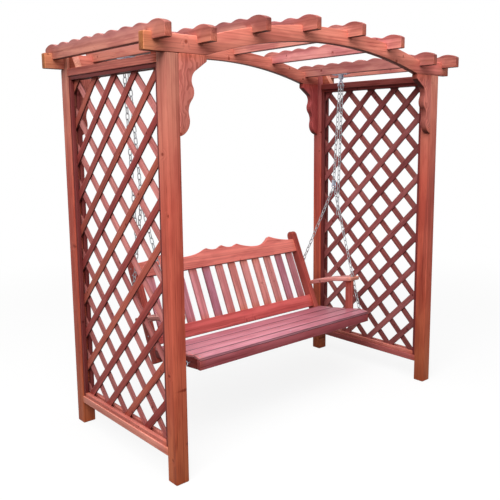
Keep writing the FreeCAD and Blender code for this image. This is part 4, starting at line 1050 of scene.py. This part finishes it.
# Seat boards into the sides and the brace, arms into their posts, stiles into the rails, arm posts into the sides.
def benchScrews():
    found = []
    sideX = seatHalf - benchSpec["sideThick"] / 2
    for index in range(len(widths)):
        for share in screwSpec["seatShares"] if index else screwSpec["frontShares"]:
            place = seatStarts[index] + seatBacks[index] * widths[index] * share
            found += [(place + acrossX * x, seatUps[index]) for x in (-sideX, 0, sideX)]
    armRun = np.array([0, armMid[0] - armTip[0], armMid[1] - armTip[1]])
    for across in (-1, 1):
        for share in screwSpec["armShares"]:
            along = armSpec["postBack"] - armSpec["tipBack"] + armSpec["postDepth"] * share
            part = along / armRun[1]
            place = np.array([across * (seatHalf + armSpec["postThick"] / 2), *armTip]) + armRun * part
            place[2] += 4 * armSpec["crown"] * part * (1 - part)
            found.append((place, np.cross(acrossX, armRun)))
        ups = [backSpec["crestUp"] + up for up in screwSpec["crestUps"]]
        ups += [backSpec["lowerUp"] + up for up in screwSpec["lowerUps"]]
        middle = backFoot + backBehind * (backSpec["inset"] + backSpec["rail"] / 2) + acrossX * across * seatHalf
        found += [(middle + backUp * up, acrossX * across) for up in ups]
        outer = across * (seatHalf + armSpec["postThick"])
        front = benchSpec["front"] + armSpec["postBack"]
        found += [(np.array([outer, front + back, benchSpec["height"] - screwSpec["postDrop"]]), acrossX * across)
                  for back in screwSpec["postBacks"]]
    return zip(*found)


# One screw down through each rafter into each arch.
def rafterScrews():
    top = rafterOutline()
    top = top[top[:, 1] > rafterSpec["crownLine"]]
    top = top[np.argsort(top[:, 0])]
    ys = np.array([-1, 1]) * archMiddleY
    heights = np.interp(ys, top[:, 0], top[:, 1])
    places = []
    for index in range(rafterCount):
        low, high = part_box(f"rafter_{index + 1}")
        places += [((low[0] + high[0]) / 2, y, low[2] + height) for y, height in zip(ys, heights)]
    return places, np.tile(upZ, (len(places), 1))


buildScrews("bench_screws", *benchScrews(), "bench")
buildScrews("rafter_screws", *rafterScrews(), "arbor")
print("screws done")


# Steel fittings keep their own solids and take the zinc finish
for name in ("hanger_left", "hanger_right", "hanger_pins", "hanger_bolts", "hook_left", "hook_right", "shackle_left",
             "shackle_right", "shackle_pins", "ring_left", "ring_right", "eye_bolts"):
    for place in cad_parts[name].material_slots:
        place.material = finish["fitting_steel"]


# Stage: pale floor, soft light, white surround

stageSpec = {"floor": 30.0, "pale": (0.88, 0.88, 0.88, 1), "bounce": (0.12, 0.11, 0.10, 1), "glowShare": 0.86,
             "glowNear": 2.2, "glowFar": 5.5, "worldLight": 0.36, "aim": (0, 0, 1.0)}
lampSpec = {"key": {"power": 410.0, "place": (-3.8, -2.7, 5.2), "size": 4.6},
            "overhead": {"power": 170.0, "place": (-0.6, -0.9, 6.0), "size": 4.0}}


def cameraSeen(tree):
    rays = put(tree, "LightPath")
    seen = reckon(tree, "ADD", rays.outputs["Is Camera Ray"], rays.outputs["Is Glossy Ray"])
    return reckon(tree, "ADD", seen, rays.outputs["Is Transmission Ray"], clamp=True)


def buildFloor():
    reach = stageSpec["floor"]
    mesh = bpy.data.meshes.new("floor")
    places = [(-reach, -reach, 0), (reach, -reach, 0), (reach, reach, 0), (-reach, reach, 0)]
    mesh.from_pydata(places, [], [(0, 1, 2, 3)])
    floor = bpy.data.objects.new("floor", mesh)
    scene.collection.objects.link(floor)
    material = bpy.data.materials.new("floor")
    tree = clearTree(material)
    spot = put(tree, "TexCoord").outputs["Object"]
    radius = put(tree, "VectorMath", {0: spot}, operation="LENGTH").outputs["Value"]
    reached = remap(tree, radius, stageSpec["glowNear"], stageSpec["glowFar"], stageSpec["glowShare"], 1.0)
    pale = put(tree, "BsdfDiffuse", {"Color": stageSpec["pale"]})
    glow = put(tree, "Emission", {"Color": (1, 1, 1, 1), "Strength": 1.0})
    bounce = put(tree, "BsdfDiffuse", {"Color": stageSpec["bounce"]})
    seen = put(tree, "MixShader", {0: reached, 1: pale.outputs[0], 2: glow.outputs[0]})
    mix = put(tree, "MixShader", {0: cameraSeen(tree), 1: bounce.outputs[0], 2: seen.outputs[0]})
    output = put(tree, "OutputMaterial")
    tree.links.new(mix.outputs[0], output.inputs["Surface"])
    mesh.materials.append(material)


def buildWorld():
    world = bpy.data.worlds.new("surround")
    tree = clearTree(world)
    light = put(tree, "Background", {"Color": (1, 1, 1, 1), "Strength": stageSpec["worldLight"]})
    white = put(tree, "Background", {"Color": (1, 1, 1, 1), "Strength": 1.0})
    mix = put(tree, "MixShader", {0: cameraSeen(tree), 1: light.outputs[0], 2: white.outputs[0]})
    output = put(tree, "OutputWorld")
    tree.links.new(mix.outputs[0], output.inputs["Surface"])
    scene.world = world


def matrixFrom(right, up, back, place):
    rows = np.eye(4)
    rows[:3, 0], rows[:3, 1], rows[:3, 2], rows[:3, 3] = right, up, back, place
    return [list(column) for column in rows.T]


def buildLight(name, power, place, size):
    lamp = bpy.data.lights.new(name, "AREA")
    lamp.energy, lamp.size = power, size
    holder = bpy.data.objects.new(name, lamp)
    scene.collection.objects.link(holder)
    aim = unit(np.asarray(stageSpec["aim"]) - np.asarray(place))
    right = unit(np.cross(aim, upZ))
    holder.matrix_world = matrixFrom(right, np.cross(right, aim), -aim, place)


cameraSpec = {"place": (-2.590, -2.837, 1.606), "yaw": 40.99, "pitch": 8.63, "roll": -0.53, "focal": 659.8,
              "centre": (252.2, 234.1), "image": 500, "sensor": 36}


# The camera looks along yaw from +Y towards +X and pitch below level; the shift puts its axis at the centre pixel.
def buildCamera():
    yaw, pitch, roll = (math.radians(cameraSpec[key]) for key in ("yaw", "pitch", "roll"))
    forward = np.array([math.sin(yaw) * math.cos(pitch), math.cos(yaw) * math.cos(pitch), -math.sin(pitch)])
    level = np.array([math.cos(yaw), -math.sin(yaw), 0])
    upright = np.cross(level, forward)
    right = level * math.cos(roll) + upright * math.sin(roll)
    up = upright * math.cos(roll) - level * math.sin(roll)
    lens = bpy.data.cameras.new("camera")
    size = cameraSpec["image"]
    lens.sensor_width = cameraSpec["sensor"]
    lens.lens = cameraSpec["focal"] / size * cameraSpec["sensor"]
    lens.shift_x = (size / 2 - cameraSpec["centre"][0]) / size
    lens.shift_y = (cameraSpec["centre"][1] - size / 2) / size
    holder = bpy.data.objects.new("camera", lens)
    scene.collection.objects.link(holder)
    holder.matrix_world = matrixFrom(right, up, -forward, cameraSpec["place"])
    scene.camera = holder


buildFloor()
buildWorld()
for name, lamp in lampSpec.items():
    buildLight(name, **lamp)
buildCamera()
scene.view_settings.view_transform = "Standard"
print("stage and camera done")
